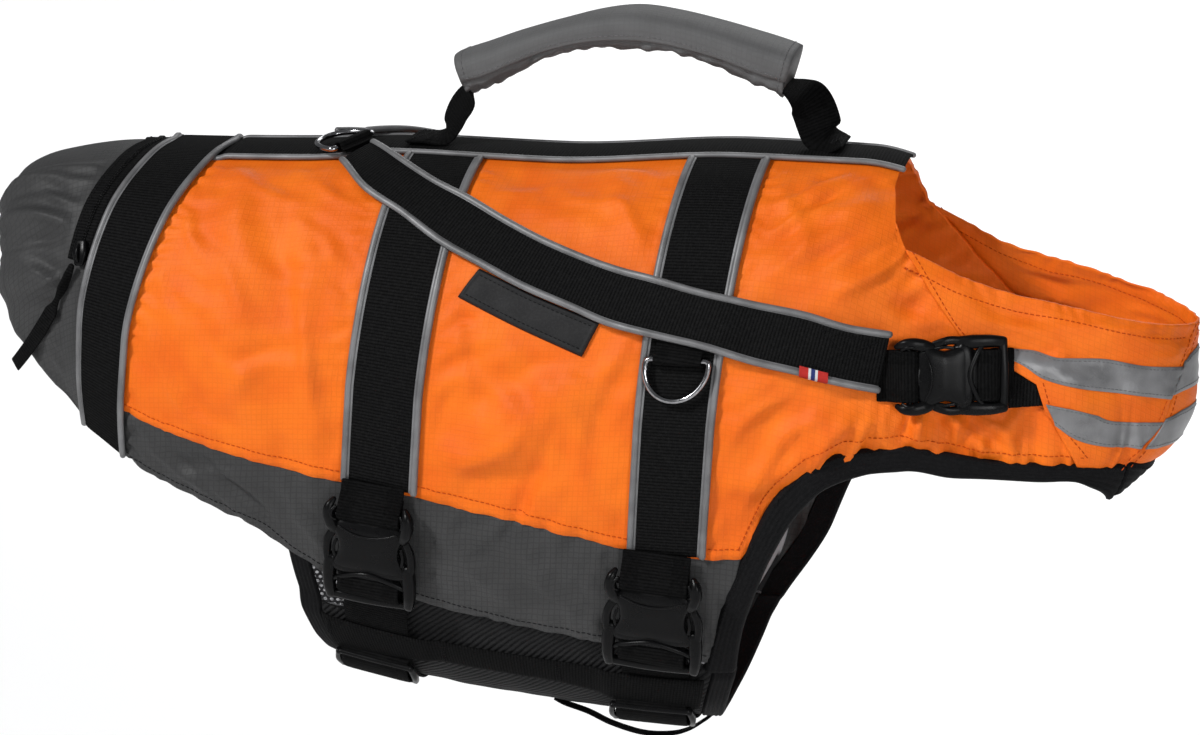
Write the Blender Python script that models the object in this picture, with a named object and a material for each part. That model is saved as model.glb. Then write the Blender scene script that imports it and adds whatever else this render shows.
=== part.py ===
"""Dog life jacket, shown as worn: a hollow foam vest with webbing bands, handle and buckles.

Frame: +X towards the dog's head, +Y the dog's left, +Z up. The origin lies on the vest's inner
face under the spine, where the wearer's back carries it.

The vest is drawn on one body form. A place on the form is a run along the body in millimetres and
an angle round it in degrees, 0 at the spine and 180 under the belly. Every piece is a patch or a
strip in run and angle, moved out from the form by its own distance, so that it follows what it
lies on. Tables are in millimetres and degrees, and MM turns them into metres.
"""
import bpy
import bmesh
import numpy as np
from mathutils import Matrix, Vector

MM = 0.001

# ---------------------------------------------------------------- driving sizes (mm)
SEAM_GAP = 0.3            # between two pieces that meet
SEAM_ANGLE = 0.2          # the same gap round the body, in degrees
SPINE_GAP_ANGLE = 0.15    # each side panel starts this far from the middle of the back
FOAM_WALL = 6.0           # side panels, foam between two layers of cloth
FLANK_WALL = 2.4          # grey lower flanks
RUMP_WALL = 2.4           # grey hood over the rump
COLLAR_WALL = 2.4         # chest collar
BELLY_WALL = 3.6          # padded mesh under the belly
BELLY_DEPTH = 3.7         # how far it tucks in under the flanks
BINDING_WALL = 4.0        # ribbed elastic folded round an edge
SLOT_RISE = 3.0           # how far the collar opens over the shoulder strap's end
SLOT_ANGLE = 79.5         # middle of that slot
WEBBING = 2.0             # thickness of the black webbing
WEBBING_WIDTH = 38.0
HANDLE_WEBBING = 2.4      # thickness of the handle's webbing
HANDLE_WIDTH = 33.0       # its width inside the sleeve
SLEEVE_HALF = 22.0        # half the width of the handle's sleeve
RING_WIRE = 1.6           # radius of the rings' wire
RING_DEPTH = 23.0         # from a ring's bar to the end of its bow
KEEPER = 1.2              # thickness of the webbing folded round a ring's bar
BELT = 1.6                # thickness of the webbing under the belly
BELT_LIFT = 0.9           # clearance of the two belts that go across under the belly
PIPING = 4.0              # diameter of the grey piping along the bands
LIFT = 0.5                # clearance of a piece above the cloth it lies on
NOSE_RUN = 393.0          # run at the middle of the chest, in front
FORM_POWER = 0.92         # 1 would make each ring an ellipse
DEGREE = 1.9              # about this many mm round the body for one degree

# ---------------------------------------------------------------- the body form
FORM_COLUMNS = ("run", "station", "slant", "crown", "wide", "keel", "half_width", "tuck")
FORM_ROWS = (
    (-336, -336, 10, -38, -88, -168, 42, 0),
    (-319, -319, 12, -14, -87, -176, 56, 0),
    (-300, -300, 14, -6, -86, -184, 65, 0),
    (-255, -255, -6, 1, -92, -210, 80, 0),
    (-200, -200, -24, 2, -102, -246, 90, 0),
    (-140, -140, -26, 4, -109, -284, 96, 0),
    (-90, -90, -28, 7, -115, -302, 99, 0),
    (0, 0, -30, 6, -125, -317, 104, 0),
    (110, 110, -34, 13, -130, -324, 106, 0),
    (180, 180, -30, 12, -130, -318, 98, 0),
    (215, 215, -20, 4, -128, -312, 84, 0),
    (260, 260, -10, -14, -125, -302, 72, 0),
    (310, 310, 0, -25, -120, -296, 58, 2),
    (346, 343, 0, -30, -118, -290, 40, 12),
    (370, 359, 0, -32, -117, -288, 22, 20),
    (393, 366, 0, -33, -116, -287, 0, 25),
)
TUCK_SPAN = 13.0          # degrees below the widest line over which the chest tucks back
FAR_LEAN = 19.0           # how far the vest has slid forward behind the left foreleg

# Largest folds: a soft ridge (or trough, below zero) from one place to another.
FOLD_COLUMNS = ("run_a", "angle_a", "run_b", "angle_b", "spread", "height")
FOLD_ROWS = (
    (-175, 30, -150, 88, 11, 2.4),
    (-150, 45, -118, 80, 10, -2.2),
    (-185, 70, -135, 100, 10, 2.0),
    (-120, 58, -108, 98, 9, 2.2),
    (-20, 98, 50, 86, 8, 2.4),
    (-24, 102, 30, 99, 7, -1.8),
    (5, 93, 62, 104, 8, 1.8),
    (40, 20, 66, 42, 9, 2.0),
    (-15, 22, 20, 30, 9, -1.8),
    (142, 58, 185, 30, 9, 2.8),
    (150, 46, 190, 22, 9, -2.2),
    (162, 66, 205, 48, 9, 2.6),
    (140, 94, 200, 86, 9, 2.8),
    (142, 103, 172, 95, 8, -2.4),
    (186, 89, 214, 85, 7, 2.6),
    (216, 90, 236, 86, 6, 2.6),
    (240, 91, 256, 86, 6, 2.2),
    (262, 92, 276, 88, 6, 2.4),
    (-312, 18, -288, 62, 12, -2.6),
    (-322, 48, -304, 76, 10, 2.2),
    (-328, 30, -300, 12, 10, 2.0),
    (320, 64, 362, 70, 8, 1.2),
)

# ---------------------------------------------------------------- lines on the form (run, angle)
REAR_JOIN = ((-212, 0), (-220, 25), (-229, 45), (-236, 65), (-243, 85), (-247, 107), (-247, 122))
GREY_SEAM = ((-247, 107), (-224, 107), (-150, 106), (-88, 105.3), (-42, 105), (20, 106.6), (83, 109),
             (128, 110), (148, 110))
FLANK_EDGE = ((-247, 122), (-224, 122), (-146, 121), (-100, 127), (-46, 128), (20, 130), (76, 131.5),
              (118, 134), (131, 135))
LEG_EDGE = ((131, 135), (135, 127), (139, 120), (143, 115), (148, 110), (154, 105), (161, 100),
            (170, 96.5), (183, 93.5), (197, 92), (219, 92), (243, 93.5), (267, 95.5), (290, 96.8),
            (315, 98), (338, 98.9))
LEG_HEM = ((146, 136), (148, 128), (152, 121), (158, 113.5), (165, 107.5), (171, 103.5), (178, 100.5),
           (186, 98), (198, 96.5), (208, 96), (222, 96), (244, 97.6), (268, 98.8), (288, 99.9),
           (306, 100.6), (318, 102.2), (342, 106.2))
COLLAR_SEAM = ((212, 44), (227, 55), (247, 67), (268, 73), (283, 78.5), (289, 88), (308, 96.5))
CHEST_SEAM = ((388, 63), (384, 67), (371, 78), (358.5, 91), (338, 98.6))
STRAP_UPPER = ((-103.5, 9.8), (-85, 18.7), (-57, 29), (-36, 34), (-9, 41), (19, 47), (55, 53), (81, 56),
               (110, 59), (138, 61), (166, 63), (192, 66), (209, 67))
STRAP_LOWER = ((-117, 22), (-96, 35), (-72, 42), (-45, 50), (-19, 55), (8, 60), (35, 64), (62, 68),
               (87, 70), (116, 72), (144, 75), (168, 77), (206, 81))
UPPER_TAPE = (((268, 68.5), (281, 69), (295, 71.5), (316, 72), (341, 75.5), (366, 78.3)),
              ((270, 71.5), (277, 73.5), (287, 77.5), (305, 81), (328, 84), (357, 88.2)))
LOWER_TAPE = (((289, 85), (301, 87), (325, 91), (345, 92), (353, 92.3)),
              ((294, 90.5), (305, 93), (318, 94.5), (332, 95.5), (340, 96)))

# ---------------------------------------------------------------- bands across the back
MID_BAND = {"rear": ((-84, 13.4), (-88, 104.5)), "front": ((-38, 13.4), (-42, 104.5))}
FRONT_BAND = {"rear": ((81, 13.4), (80, 50), (83, 109.5)), "front": ((128, 13.4), (127, 50), (128, 109.5))}
BAND_WIDTH = 46.0         # over the piping at both edges
REAR_BAND_HALF = 20.5     # half the rear band's width
REAR_BAND_END = 121.0     # angle at which it ends
REAR_BAND_LIFT = 0.4      # it clears the panels' rear edges
# The spine band's edges: it is drawn over to the right behind the ring on it.
SPINE_RIGHT = ((-191, 16.8), (-150, 16.8), (-118, 16), (-93, 13), (-60, 12.6), (201, 12.6))
SPINE_LEFT = ((-191, -8.4), (-150, -8.4), (-118, -9.2), (-93, -12.2), (-60, -12.6), (201, -12.6))
BELT_PLACES = (("mid", -68.0), ("front", 101.0))
RING_PLACE = (103.0, 74.7, 6.6)          # run, angle and height of the side rings' bars


def columns(names, rows):
    """A table as one array for each named column."""
    table = np.array(rows, float)
    return {name: table[:, place] for place, name in enumerate(names)}


def smooth(x, low, high):
    """0 below low, 1 above high, and an even slope between them."""
    t = np.clip((np.asarray(x, float) - low) / (high - low), 0.0, 1.0)
    return t * t * (3.0 - 2.0 * t)


def through(knots, values, at):
    """A curve through the knots that never overshoots them (monotone cubic)."""
    step = np.diff(knots)
    slope = np.diff(values) / step
    first, second = slope[:-1], slope[1:]
    near = 2.0 * step[1:] + step[:-1]
    far = step[1:] + 2.0 * step[:-1]
    same = first * second > 0.0
    safe_first = np.where(same, first, 1.0)
    safe_second = np.where(same, second, 1.0)
    inner = np.where(same, (near + far) / (near / safe_first + far / safe_second), 0.0)
    tangent = np.concatenate([slope[:1], inner, slope[-1:]])
    index = np.clip(np.searchsorted(knots, at) - 1, 0, len(step) - 1)
    width = step[index]
    t = (at - knots[index]) / width
    return (values[index] * (1 + 2 * t) * (1 - t) ** 2 + tangent[index] * width * t * (1 - t) ** 2
            + values[index + 1] * t * t * (3 - 2 * t) + tangent[index + 1] * width * t * t * (t - 1))


def form_table():
    """The form's columns, with the rows past the middle of the chest mirrored from those before."""
    table = columns(FORM_COLUMNS, FORM_ROWS)
    full = {name: np.concatenate([values, values[-2::-1]]) for name, values in table.items()}
    count = len(table["run"])
    full["run"][count:] = 2 * NOSE_RUN - full["run"][count:]
    full["half_width"][count:] *= -1.0
    return full


FORM = form_table()
FOLDS = columns(FOLD_COLUMNS, FOLD_ROWS)


def body(run, angle, side):
    """Points of the bare form. Each ring is half an oval above its widest line and half below."""
    def at(name):
        return through(FORM["run"], FORM[name], run)
    turn = np.radians(angle)
    up, out = np.cos(turn), np.sin(turn)
    wide = at("wide")
    low = np.clip((angle - 90.0) / TUCK_SPAN, 0.0, 1.3)
    x = at("station") + at("slant") * (1.0 - up) / 2.0 - at("tuck") * low ** 2
    y = side * at("half_width") * np.abs(out) ** FORM_POWER * np.sign(out)
    height = np.where(up >= 0.0, at("crown") - wide, wide - at("keel"))
    z = wide + height * np.sign(up) * np.abs(up) ** FORM_POWER
    return np.stack([x + far_lean(run, ring_angle(angle), y), y, z], -1)


def ring_angle(angle):
    """The angle from the spine, 0 to 180, on whichever side it is."""
    return 180.0 - np.abs(np.abs(angle) - 180.0)


def far_lean(run, ring, y):
    """The left leg opening sits further forward than the right one, low down beside the leg."""
    beside = smooth(y, 30.0, 70.0) * smooth(ring, 97.0, 110.0) * (1.0 - smooth(ring, 120.0, 144.0))
    return FAR_LEAN * beside * smooth(run, 90.0, 145.0) * (1.0 - smooth(run, 185.0, 225.0))


def frame_at(run, angle, side):
    """Point, direction along the run, direction round the body and outward direction."""
    step = 0.5
    along = body(run + step, angle, side) - body(run - step, angle, side)
    around = body(run, angle + step, side) - body(run, angle - step, side)
    out = np.cross(along, around) * side
    unit = [vector / np.linalg.norm(vector, axis=-1, keepdims=True) for vector in (along, around, out)]
    return [body(run, angle, side)] + unit


def place(run, angle, out=0.0, side=-1):
    """Points on the form moved out along its normal; side is -1 on the dog's right, 1 on its left."""
    run, angle, out = np.broadcast_arrays(*[np.asarray(value, float) for value in (run, angle, out)])
    point, _, _, normal = frame_at(run, angle, side)
    return point + normal * out[..., None]


def folds(run, angle):
    """Height of the largest folds. They fade out under the bands, so that those lie flat."""
    height = np.zeros_like(run)
    ring = np.abs(angle)
    for a_run, a_angle, b_run, b_angle, spread, rise in zip(*FOLDS.values()):
        dx, dy = b_run - a_run, (b_angle - a_angle) * DEGREE
        px, py = run - a_run, (ring - a_angle) * DEGREE
        t = np.clip((px * dx + py * dy) / (dx * dx + dy * dy), 0.0, 1.0)
        away = np.hypot(px - t * dx, py - t * dy)
        height += rise * np.exp(-(away / spread) ** 2) * (0.35 + 0.65 * np.sin(np.pi * (0.15 + 0.7 * t)))
    clear = smooth(ring, 15.0, 21.0)
    for low, high in ((-89.0, -37.0), (79.0, 129.0)):
        outside = np.maximum(low - run, run - high)
        clear = clear * smooth(outside, 0.0, 10.0)
    past_join = run - through_line(REAR_JOIN, ring)
    return height * clear * (smooth(past_join, 22.0, 33.0) + smooth(-past_join, 39.0, 50.0))


def through_line(line, angle):
    """Run of a line on the form at an angle."""
    table = np.array(line, float)
    return np.interp(angle, table[:, 1], table[:, 0])


def along(line, fractions):
    """Points at fractions of the length of a line on the form."""
    table = np.array(line, float)
    lengths = np.hypot(np.diff(table[:, 0]), np.diff(table[:, 1]) * DEGREE)
    knots = np.concatenate([[0.0], np.cumsum(lengths)])
    at = np.asarray(fractions, float) * knots[-1]
    if len(table) == 2:
        return np.interp(at, knots, table[:, 0]), np.interp(at, knots, table[:, 1])
    return through(knots, table[:, 0], at), through(knots, table[:, 1], at)


def shifted(line, run=0.0, angle=0.0):
    return tuple((point[0] + run, point[1] + angle) for point in line)


def mirrored_chest(line):
    """The same line seen from the other side of the chest's middle."""
    return tuple((2 * NOSE_RUN - run, angle) for run, angle in line)


# ---------------------------------------------------------------- materials
MATERIALS = {
    "orange_ripstop": ((1.0, 0.21, 0.025), 0.6, 0.0),
    "grey_ripstop": ((0.07, 0.07, 0.072), 0.65, 0.0),
    "black_webbing": ((0.012, 0.012, 0.013), 0.75, 0.0),
    "black_mesh": ((0.02, 0.02, 0.02), 0.85, 0.0),
    "black_elastic": ((0.01, 0.01, 0.01), 0.8, 0.0),
    "grey_reflective": ((0.22, 0.22, 0.225), 0.45, 0.1),
    "black_plastic": ((0.01, 0.01, 0.011), 0.38, 0.0),
    "chrome": ((0.8, 0.8, 0.8), 0.15, 1.0),
    "rubber_patch": ((0.035, 0.035, 0.037), 0.5, 0.0),
    "red_tag": ((0.6, 0.03, 0.03), 0.6, 0.0),
}


def material(name):
    found = bpy.data.materials.get(name)
    if found:
        return found
    colour, roughness, metallic = MATERIALS[name]
    made = bpy.data.materials.new(name)
    made.use_nodes = True
    shader = made.node_tree.nodes["Principled BSDF"]
    shader.inputs["Base Color"].default_value = (*colour, 1.0)
    shader.inputs["Roughness"].default_value = roughness
    shader.inputs["Metallic"].default_value = metallic
    made.diffuse_color = (*colour, 1.0)
    return made


# ---------------------------------------------------------------- mesh makers
def add_object(name, data, finish, smooth_angle=40.0):
    data.materials.append(material(finish))
    made = bpy.data.objects.new(name, data)
    bpy.data.collections["dog_life_jacket"].objects.link(made)
    if isinstance(data, bpy.types.Mesh):
        data.shade_smooth()
        data.set_sharp_from_angle(angle=np.radians(smooth_angle))
    return made


def closed_mesh(name, points, faces, finish):
    """A mesh in millimetres, with its faces turned outwards."""
    data = bpy.data.meshes.new(name)
    data.from_pydata((np.asarray(points) * MM).tolist(), [], faces)
    work = bmesh.new()
    work.from_mesh(data)
    bmesh.ops.recalc_face_normals(work, faces=work.faces)
    work.to_mesh(data)
    work.free()
    return add_object(name, data, finish)


def wall(name, outer, inner, finish):
    """A closed wall between two grids of the same shape, with a rim all round."""
    rows, cols = outer.shape[:2]
    index = np.arange(rows * cols).reshape(rows, cols)
    faces = []
    for r in range(rows - 1):
        for c in range(cols - 1):
            quad = [index[r, c], index[r, c + 1], index[r + 1, c + 1], index[r + 1, c]]
            faces.append([int(i) for i in quad])
            faces.append([int(i) + rows * cols for i in reversed(quad)])
    rim = list(index[0, :]) + list(index[1:, -1]) + list(index[-1, -2::-1]) + list(index[-2:0:-1, 0])
    for a, b in zip(rim, rim[1:] + rim[:1]):
        faces.append([int(b), int(a), int(a) + rows * cols, int(b) + rows * cols])
    points = np.concatenate([outer.reshape(-1, 3), inner.reshape(-1, 3)])
    return closed_mesh(name, points, faces, finish)


def loft(name, sections, finish):
    """A closed tube through sections, an array (sections, points, xyz), with flat ends."""
    count, size = sections.shape[:2]
    faces = [list(range(size)), [(count - 1) * size + i for i in reversed(range(size))]]
    for s in range(count - 1):
        for i in range(size):
            j = (i + 1) % size
            faces.append([s * size + i, (s + 1) * size + i, (s + 1) * size + j, s * size + j])
    return closed_mesh(name, sections.reshape(-1, 3), faces, finish)


def tube_wall(name, outer, inner, finish):
    """A pipe with a wall: two grids whose second way closes on itself, joined at both ends."""
    rows, cols = outer.shape[:2]
    shift = rows * cols
    faces = []
    for c in range(cols):
        d = (c + 1) % cols
        for r in range(rows - 1):
            quad = [r * cols + c, r * cols + d, (r + 1) * cols + d, (r + 1) * cols + c]
            faces.append(quad)
            faces.append([i + shift for i in reversed(quad)])
        faces.append([d, c, c + shift, d + shift])
        last = (rows - 1) * cols
        faces.append([last + c, last + d, last + d + shift, last + c + shift])
    points = np.concatenate([outer.reshape(-1, 3), inner.reshape(-1, 3)])
    return closed_mesh(name, points, faces, finish)


def patch(name, top, bottom, shape, faces_out, thick, finish, side=-1, end=None):
    """Cloth between two lines on the form, in columns; faces_out(run, angle) is its outer face.

    The lines have one point for each column. Between the given columns more are put in evenly.
    The last columns bow out to the line end, if there is one.
    """
    cols, rows = shape
    top, bottom = np.array(top, float), np.array(bottom, float)
    lengths = np.hypot(*(np.diff((top + bottom) / 2.0, axis=0) * (1.0, DEGREE)).T)
    counts = np.maximum(1, np.round(lengths / lengths.sum() * cols)).astype(int)
    at = np.concatenate([[0.0]] + [k + np.arange(1, n + 1) / n for k, n in enumerate(counts)])
    known = np.arange(len(top))
    upper = np.stack([np.interp(at, known, top[:, i]) for i in (0, 1)], -1)
    lower = np.stack([np.interp(at, known, bottom[:, i]) for i in (0, 1)], -1)
    t = np.linspace(0.0, 1.0, rows + 1)[:, None, None]
    grid = upper[None] * (1.0 - t) + lower[None] * t
    if end:
        bow = np.stack(along(end, t.ravel()), -1) - grid[:, -1]
        grid = grid + bow[:, None] * smooth(at, at[-1] - 4.0, at[-1])[None, :, None]
    run, angle = grid[..., 0], grid[..., 1]
    out = faces_out(run, angle)
    depth = thick(run, angle) if callable(thick) else thick
    return wall(name, place(run, angle, out, side), place(run, angle, out - depth, side), finish)


def strip(name, edge_a, edge_b, steps, low, high, finish, side=-1, width=0.0, across=1):
    """A flat strip between two lines; with a width it has a round cord of piping along each edge.

    low and high are distances out from the form, or functions of run and angle.
    """
    fractions = np.linspace(0.0, 1.0, steps + 1)
    a = np.stack(along(edge_a, fractions), -1)
    b = np.stack(along(edge_b, fractions), -1)
    inside = np.linspace(0.0, 1.0, across + 2)[1:-1]
    if width:
        cord = PIPING / width
        bead = PIPING * 0.5
        over = [(0.0, 0.6 * bead), (cord * 0.5, bead), (cord, 0.0)]
        over += [(w, 0.0) for w in cord + (1.0 - 2 * cord) * inside]
        over += [(1.0 - cord, 0.0), (1.0 - cord * 0.5, bead), (1.0, 0.6 * bead)]
    else:
        over = [(0.0, 0.0)] + [(w, 0.0) for w in inside] + [(1.0, 0.0)]
    under = [(1.0, 0.0)] + [(w, 0.0) for w in inside[::-1]] + [(0.0, 0.0)]
    def lay(points, height):
        w = np.array([point[0] for point in points])
        rise = np.array([point[1] for point in points])
        at = a[:, None] * (1.0 - w[None, :, None]) + b[:, None] * w[None, :, None]
        level = height(at[..., 0], at[..., 1]) if callable(height) else height
        return place(at[..., 0], at[..., 1], level + rise[None, :], side)
    return loft(name, np.concatenate([lay(over, high), lay(under, low)], 1), finish)


def plate(name, outline, thickness, run, angle, out, side, finish, turn=0.0):
    """A flat outline (across, down) set on the form, with its underside at out."""
    curve = bpy.data.curves.new(name, "CURVE")
    curve.dimensions = "2D"
    curve.fill_mode = "BOTH"
    curve.extrude = thickness / 2 * MM
    spline = curve.splines.new("POLY")
    spline.points.add(len(outline) - 1)
    spline.points.foreach_set("co", np.array([(x * MM, -y * MM, 0, 1) for x, y in outline]).ravel())
    spline.use_cyclic_u = True
    made = add_object(name, curve, finish)
    point, ahead, down, normal = [np.asarray(v).reshape(3) for v in frame_at(
        np.array([run], float), np.array([angle], float), side)]
    across = np.cross(-down, normal)
    across /= np.linalg.norm(across)
    down = np.cross(normal, across) * -1.0
    centre = (point + normal * (out + thickness / 2)) * MM
    axes = Matrix((across, -down, normal)).transposed().to_4x4()
    made.matrix_world = Matrix.Translation(Vector(centre)) @ axes @ Matrix.Rotation(np.radians(turn), 4, "Z")
    return made


def bent_strip(name, path, width, thickness, wide_axis, finish):
    """Webbing of a rectangular section carried along a path; wide_axis is the way its width lies."""
    path = np.asarray(path, float)
    tangent = np.gradient(path, axis=0)
    tangent /= np.linalg.norm(tangent, axis=1, keepdims=True)
    wide = np.broadcast_to(np.asarray(wide_axis, float), path.shape)
    wide = wide / np.linalg.norm(wide, axis=1, keepdims=True)
    face = np.cross(tangent, wide)
    face /= np.linalg.norm(face, axis=1, keepdims=True)
    half = np.broadcast_to(np.asarray(width, float) / 2.0, len(path))[:, None]
    corners = [(-1, -1), (1, -1), (1, 1), (-1, 1)]
    sections = np.stack([path + wide * half * u + face * thickness / 2.0 * v for u, v in corners], 1)
    return loft(name, sections, finish)


def wire_ring(name, centre, across, down, half_width, depth, radius, finish):
    """A D-shaped wire: a straight bar through the centre and a half-round bow, depth below it."""
    turns = np.radians(np.linspace(0.0, 180.0, 15))
    bow = [(half_width * np.cos(t), depth * np.sin(t) ** 0.85) for t in turns]
    bar = [(-half_width * 0.6, 0.0), (0.0, 0.0), (half_width * 0.6, 0.0)]
    bow[0] = (half_width * 0.94, 0.6)
    bow[-1] = (-half_width * 0.94, 0.6)
    centre, across, down = [np.asarray(v, float) for v in (centre, across, down)]
    curve = bpy.data.curves.new(name, "CURVE")
    curve.dimensions = "3D"
    curve.bevel_depth = radius * MM
    curve.bevel_resolution = 1
    spline = curve.splines.new("POLY")
    spline.points.add(len(bow + bar) - 1)
    points = [(across * u + down * v) * MM for u, v in bow + bar]
    spline.points.foreach_set("co", np.array([(*p, 1.0) for p in points]).ravel())
    spline.use_cyclic_u = True
    made = add_object(name, curve, finish)
    made.location = centre * MM
    return made


# ---------------------------------------------------------------- heights of the layers
def panel_face(run, angle):
    return folds(run, angle)


def collar_face(run, angle):
    """The collar lies over the side panel's front edge and opens in a slot for the strap's end."""
    past = run - through_line(COLLAR_SEAM, np.clip(angle, 44.0, 96.5))
    overlap = 1.9 * (1.0 - smooth(past, 15.0, 32.0))
    across_slot = 1.0 - smooth(np.abs(angle - SLOT_ANGLE), 6.0, 12.0)
    slot = SLOT_RISE * across_slot * (1.0 - smooth(past, 20.0, 46.0))
    return 1.1 + overlap + slot + folds(run, angle) * smooth(past, 34.0, 44.0)


def belly_face(run, angle):
    """The belly panel tucks under the flanks and comes level with them below their edges."""
    return -BELLY_DEPTH * (1.0 - smooth(ring_angle(angle), 136.0, 141.5))


def belt_lift(run):
    """The lengthwise webbing is stitched down between the belts and rises over them."""
    lift = np.zeros_like(run)
    for _, centre in BELT_PLACES:
        lift = lift + 1.0 - smooth(np.abs(run - centre), 27.0, 38.0)
    return lift * (BELT_LIFT + BELT + 0.3 - LIFT)


# ---------------------------------------------------------------- cloth panels
def foam(run, angle):
    """The foam ends short of the neck, where only the two layers of cloth go on."""
    return FOAM_WALL - (FOAM_WALL - COLLAR_WALL) * smooth(run, 150.0, 200.0)


def side_panels():
    """Columns from the spine to the seam, then from the neck's edge to the leg's edge."""
    spine = tuple((run, SPINE_GAP_ANGLE) for run in (-212, -190, -140, -84, -38, 20, 80, 128, 158))
    neck = ((166, SPINE_GAP_ANGLE), (175, SPINE_GAP_ANGLE), (185, SPINE_GAP_ANGLE),
            (199, SPINE_GAP_ANGLE), (200, 20), (204, 35), (212, 44), (238, 58), (259, 68.5), (290, 78),
            (303, 90), (318, 96.3))
    leg = ((154, 105), (161, 100), (170, 96.5), (183, 93.5), (205, 91.9), (225, 92.2), (243, 93.5),
           (264, 95.2), (283, 95.8), (300, 96.3), (308, 96.6), (319, 97))
    grey = GREY_SEAM[:-1] + ((146.4, 110),)
    bottom = shifted(grey, SEAM_GAP / 2, -SEAM_ANGLE / 2) + shifted(leg, -4 * SEAM_GAP, -2.5 * SEAM_ANGLE)
    top = shifted(spine, SEAM_GAP / 2) + neck
    for side, tag in ((-1, "R"), (1, "L")):
        patch(f"side_panel_{tag}", top, bottom, (36, 11), panel_face, foam, "orange_ripstop", side)


def flank_panels():
    """Below the grey seam, and in front up to the leg's edge."""
    top = shifted(GREY_SEAM[:-1] + ((133, 110), (138, 110), (143, 110), (146.4, 110)), SEAM_GAP / 2,
                  SEAM_ANGLE / 2)
    bottom = FLANK_EDGE[:-1] + shifted((FLANK_EDGE[-1],) + LEG_EDGE[1:4], -1.0)
    for side, tag in ((-1, "R"), (1, "L")):
        patch(f"flank_panel_{tag}", top, bottom, (26, 2), panel_face, FLANK_WALL, "grey_ripstop", side)


def rump_panel():
    rim = ((0, -336), (22, -334), (44, -329), (74, -327), (84, -329), (95, -323), (100, -318),
           (106, -311), (112, -304), (116, -297), (119, -282), (121, -264))
    front_angles = (0, 22, 44, 72, 82, 91, 97, 103, 109, 114, 118, 121.5)
    half = [(through_line(REAR_JOIN, f) - SEAM_GAP / 2, f, run, angle)
            for (angle, run), f in zip(rim, front_angles)]
    rows = [(a, -b, c, -d) for a, b, c, d in half[:0:-1]] + half
    top = [(a, b) for a, b, _, _ in rows]
    bottom = [(c, d) for _, _, c, d in rows]
    patch("rump_panel", top, bottom, (32, 6), panel_face, RUMP_WALL, "grey_ripstop")


def collars():
    """The near collar ends at the chest seam; the far one goes on round the chest to meet it."""
    neck = ((212, 44), (226, 46.2), (240, 48.2), (256, 49.3), (273, 51), (290, 52.2), (306, 54), (322, 56.5))
    low = ((213, 45), (228, 55.6), (247, 67), (268, 73), (284, 79), (289.5, 88), (308, 96.5), (322, 97.5))
    near_neck = neck + ((340, 59), (358, 60.9), (375, 62.3), CHEST_SEAM[0])
    near_low = low + ((326, 97.7), (329, 97.9), (332, 98.1), CHEST_SEAM[-1])
    patch("collar_R", near_neck, near_low, (20, 7), collar_face, COLLAR_WALL, "orange_ripstop", -1,
          end=CHEST_SEAM)
    seam = shifted(mirrored_chest(CHEST_SEAM), -2 * SEAM_GAP)
    far_neck = neck + ((342, 59.3), (362, 61.4), (376, 62.5), (388, 63), seam[0])
    far_low = low + ((344, 99), (365, 100.6), (388, 101.5), (416, 101), seam[-1])
    patch("collar_L", far_neck, far_low, (28, 7), collar_face, COLLAR_WALL, "orange_ripstop", 1, end=seam)


def belly_panel():
    """Under the belly from flank to flank, in columns that run from its rear edge to its front edge."""
    half = ((117, -112, 130), (124, -109.5, 131), (131, -106.5, 132), (138, -103.5, 133.2),
            (145, -100.6, 130), (152, -97.6, 127.2), (161, -93.6, 124), (170, -91.6, 121.5),
            (180, -90.6, 120.5))
    rows = half + tuple((360 - angle, rear, front) for angle, rear, front in half[-2::-1])
    rear_edge = [(rear, angle) for angle, rear, _ in rows]
    front_edge = [(front, angle) for angle, _, front in rows]
    patch("belly_panel", rear_edge, front_edge, (22, 8), belly_face, BELLY_WALL, "black_mesh")


# ---------------------------------------------------------------- edges
BINDING_FACE = 1.2        # its outer face above the form, along the legs
BELLY_BINDING_FACE = 0.6  # and at the belly panel's two ends


def edge_bindings():
    """Ribbed elastic along the legs and the chest; the far one goes on round the chest."""
    high = BINDING_FACE
    low = high - BINDING_WALL
    top = shifted(LEG_EDGE, 0.0, SEAM_ANGLE)
    chest_top = ((344, 99.2), (365, 100.8), (388, 101.7), (412, 101.2), (432, 100), (445.5, 99))
    chest_hem = ((344, 105), (365, 106.6), (388, 107.4), (412, 107), (430, 106.2), (440.5, 105.6))
    strip("leg_binding_R", top, LEG_HEM, 30, low, high, "black_elastic", -1, across=0)
    strip("leg_binding_L", top[:-1] + chest_top, LEG_HEM[:-1] + chest_hem, 40, low, high, "black_elastic", 1,
          across=0)


def belly_bindings():
    def over(run, angle):
        return belly_face(run, angle) + BELLY_BINDING_FACE
    def under(run, angle):
        return over(run, angle) - BINDING_WALL
    front_half = ((134.2, 138), (128.1, 152), (125, 161), (122.5, 170))
    rear_half = ((-113, 117), (-107.5, 131), (-101.6, 145), (-98.6, 152), (-94.6, 161), (-92.6, 170))
    front_in = front_half + ((121.5, 180),) + tuple((run, 360 - angle) for run, angle in front_half[::-1])
    rear_in = rear_half + ((-91.6, 180),) + tuple((run, 360 - angle) for run, angle in rear_half[::-1])
    front_out = shifted(front_in, 12.0)
    rear_out = shifted(rear_in, -13.0)
    strip("belly_front_binding", front_in, front_out, 14, under, over, "black_elastic", across=0)
    strip("belly_rear_binding", rear_in, rear_out, 18, under, over, "black_elastic", across=0)


TAPE_WALL = 0.7


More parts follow.
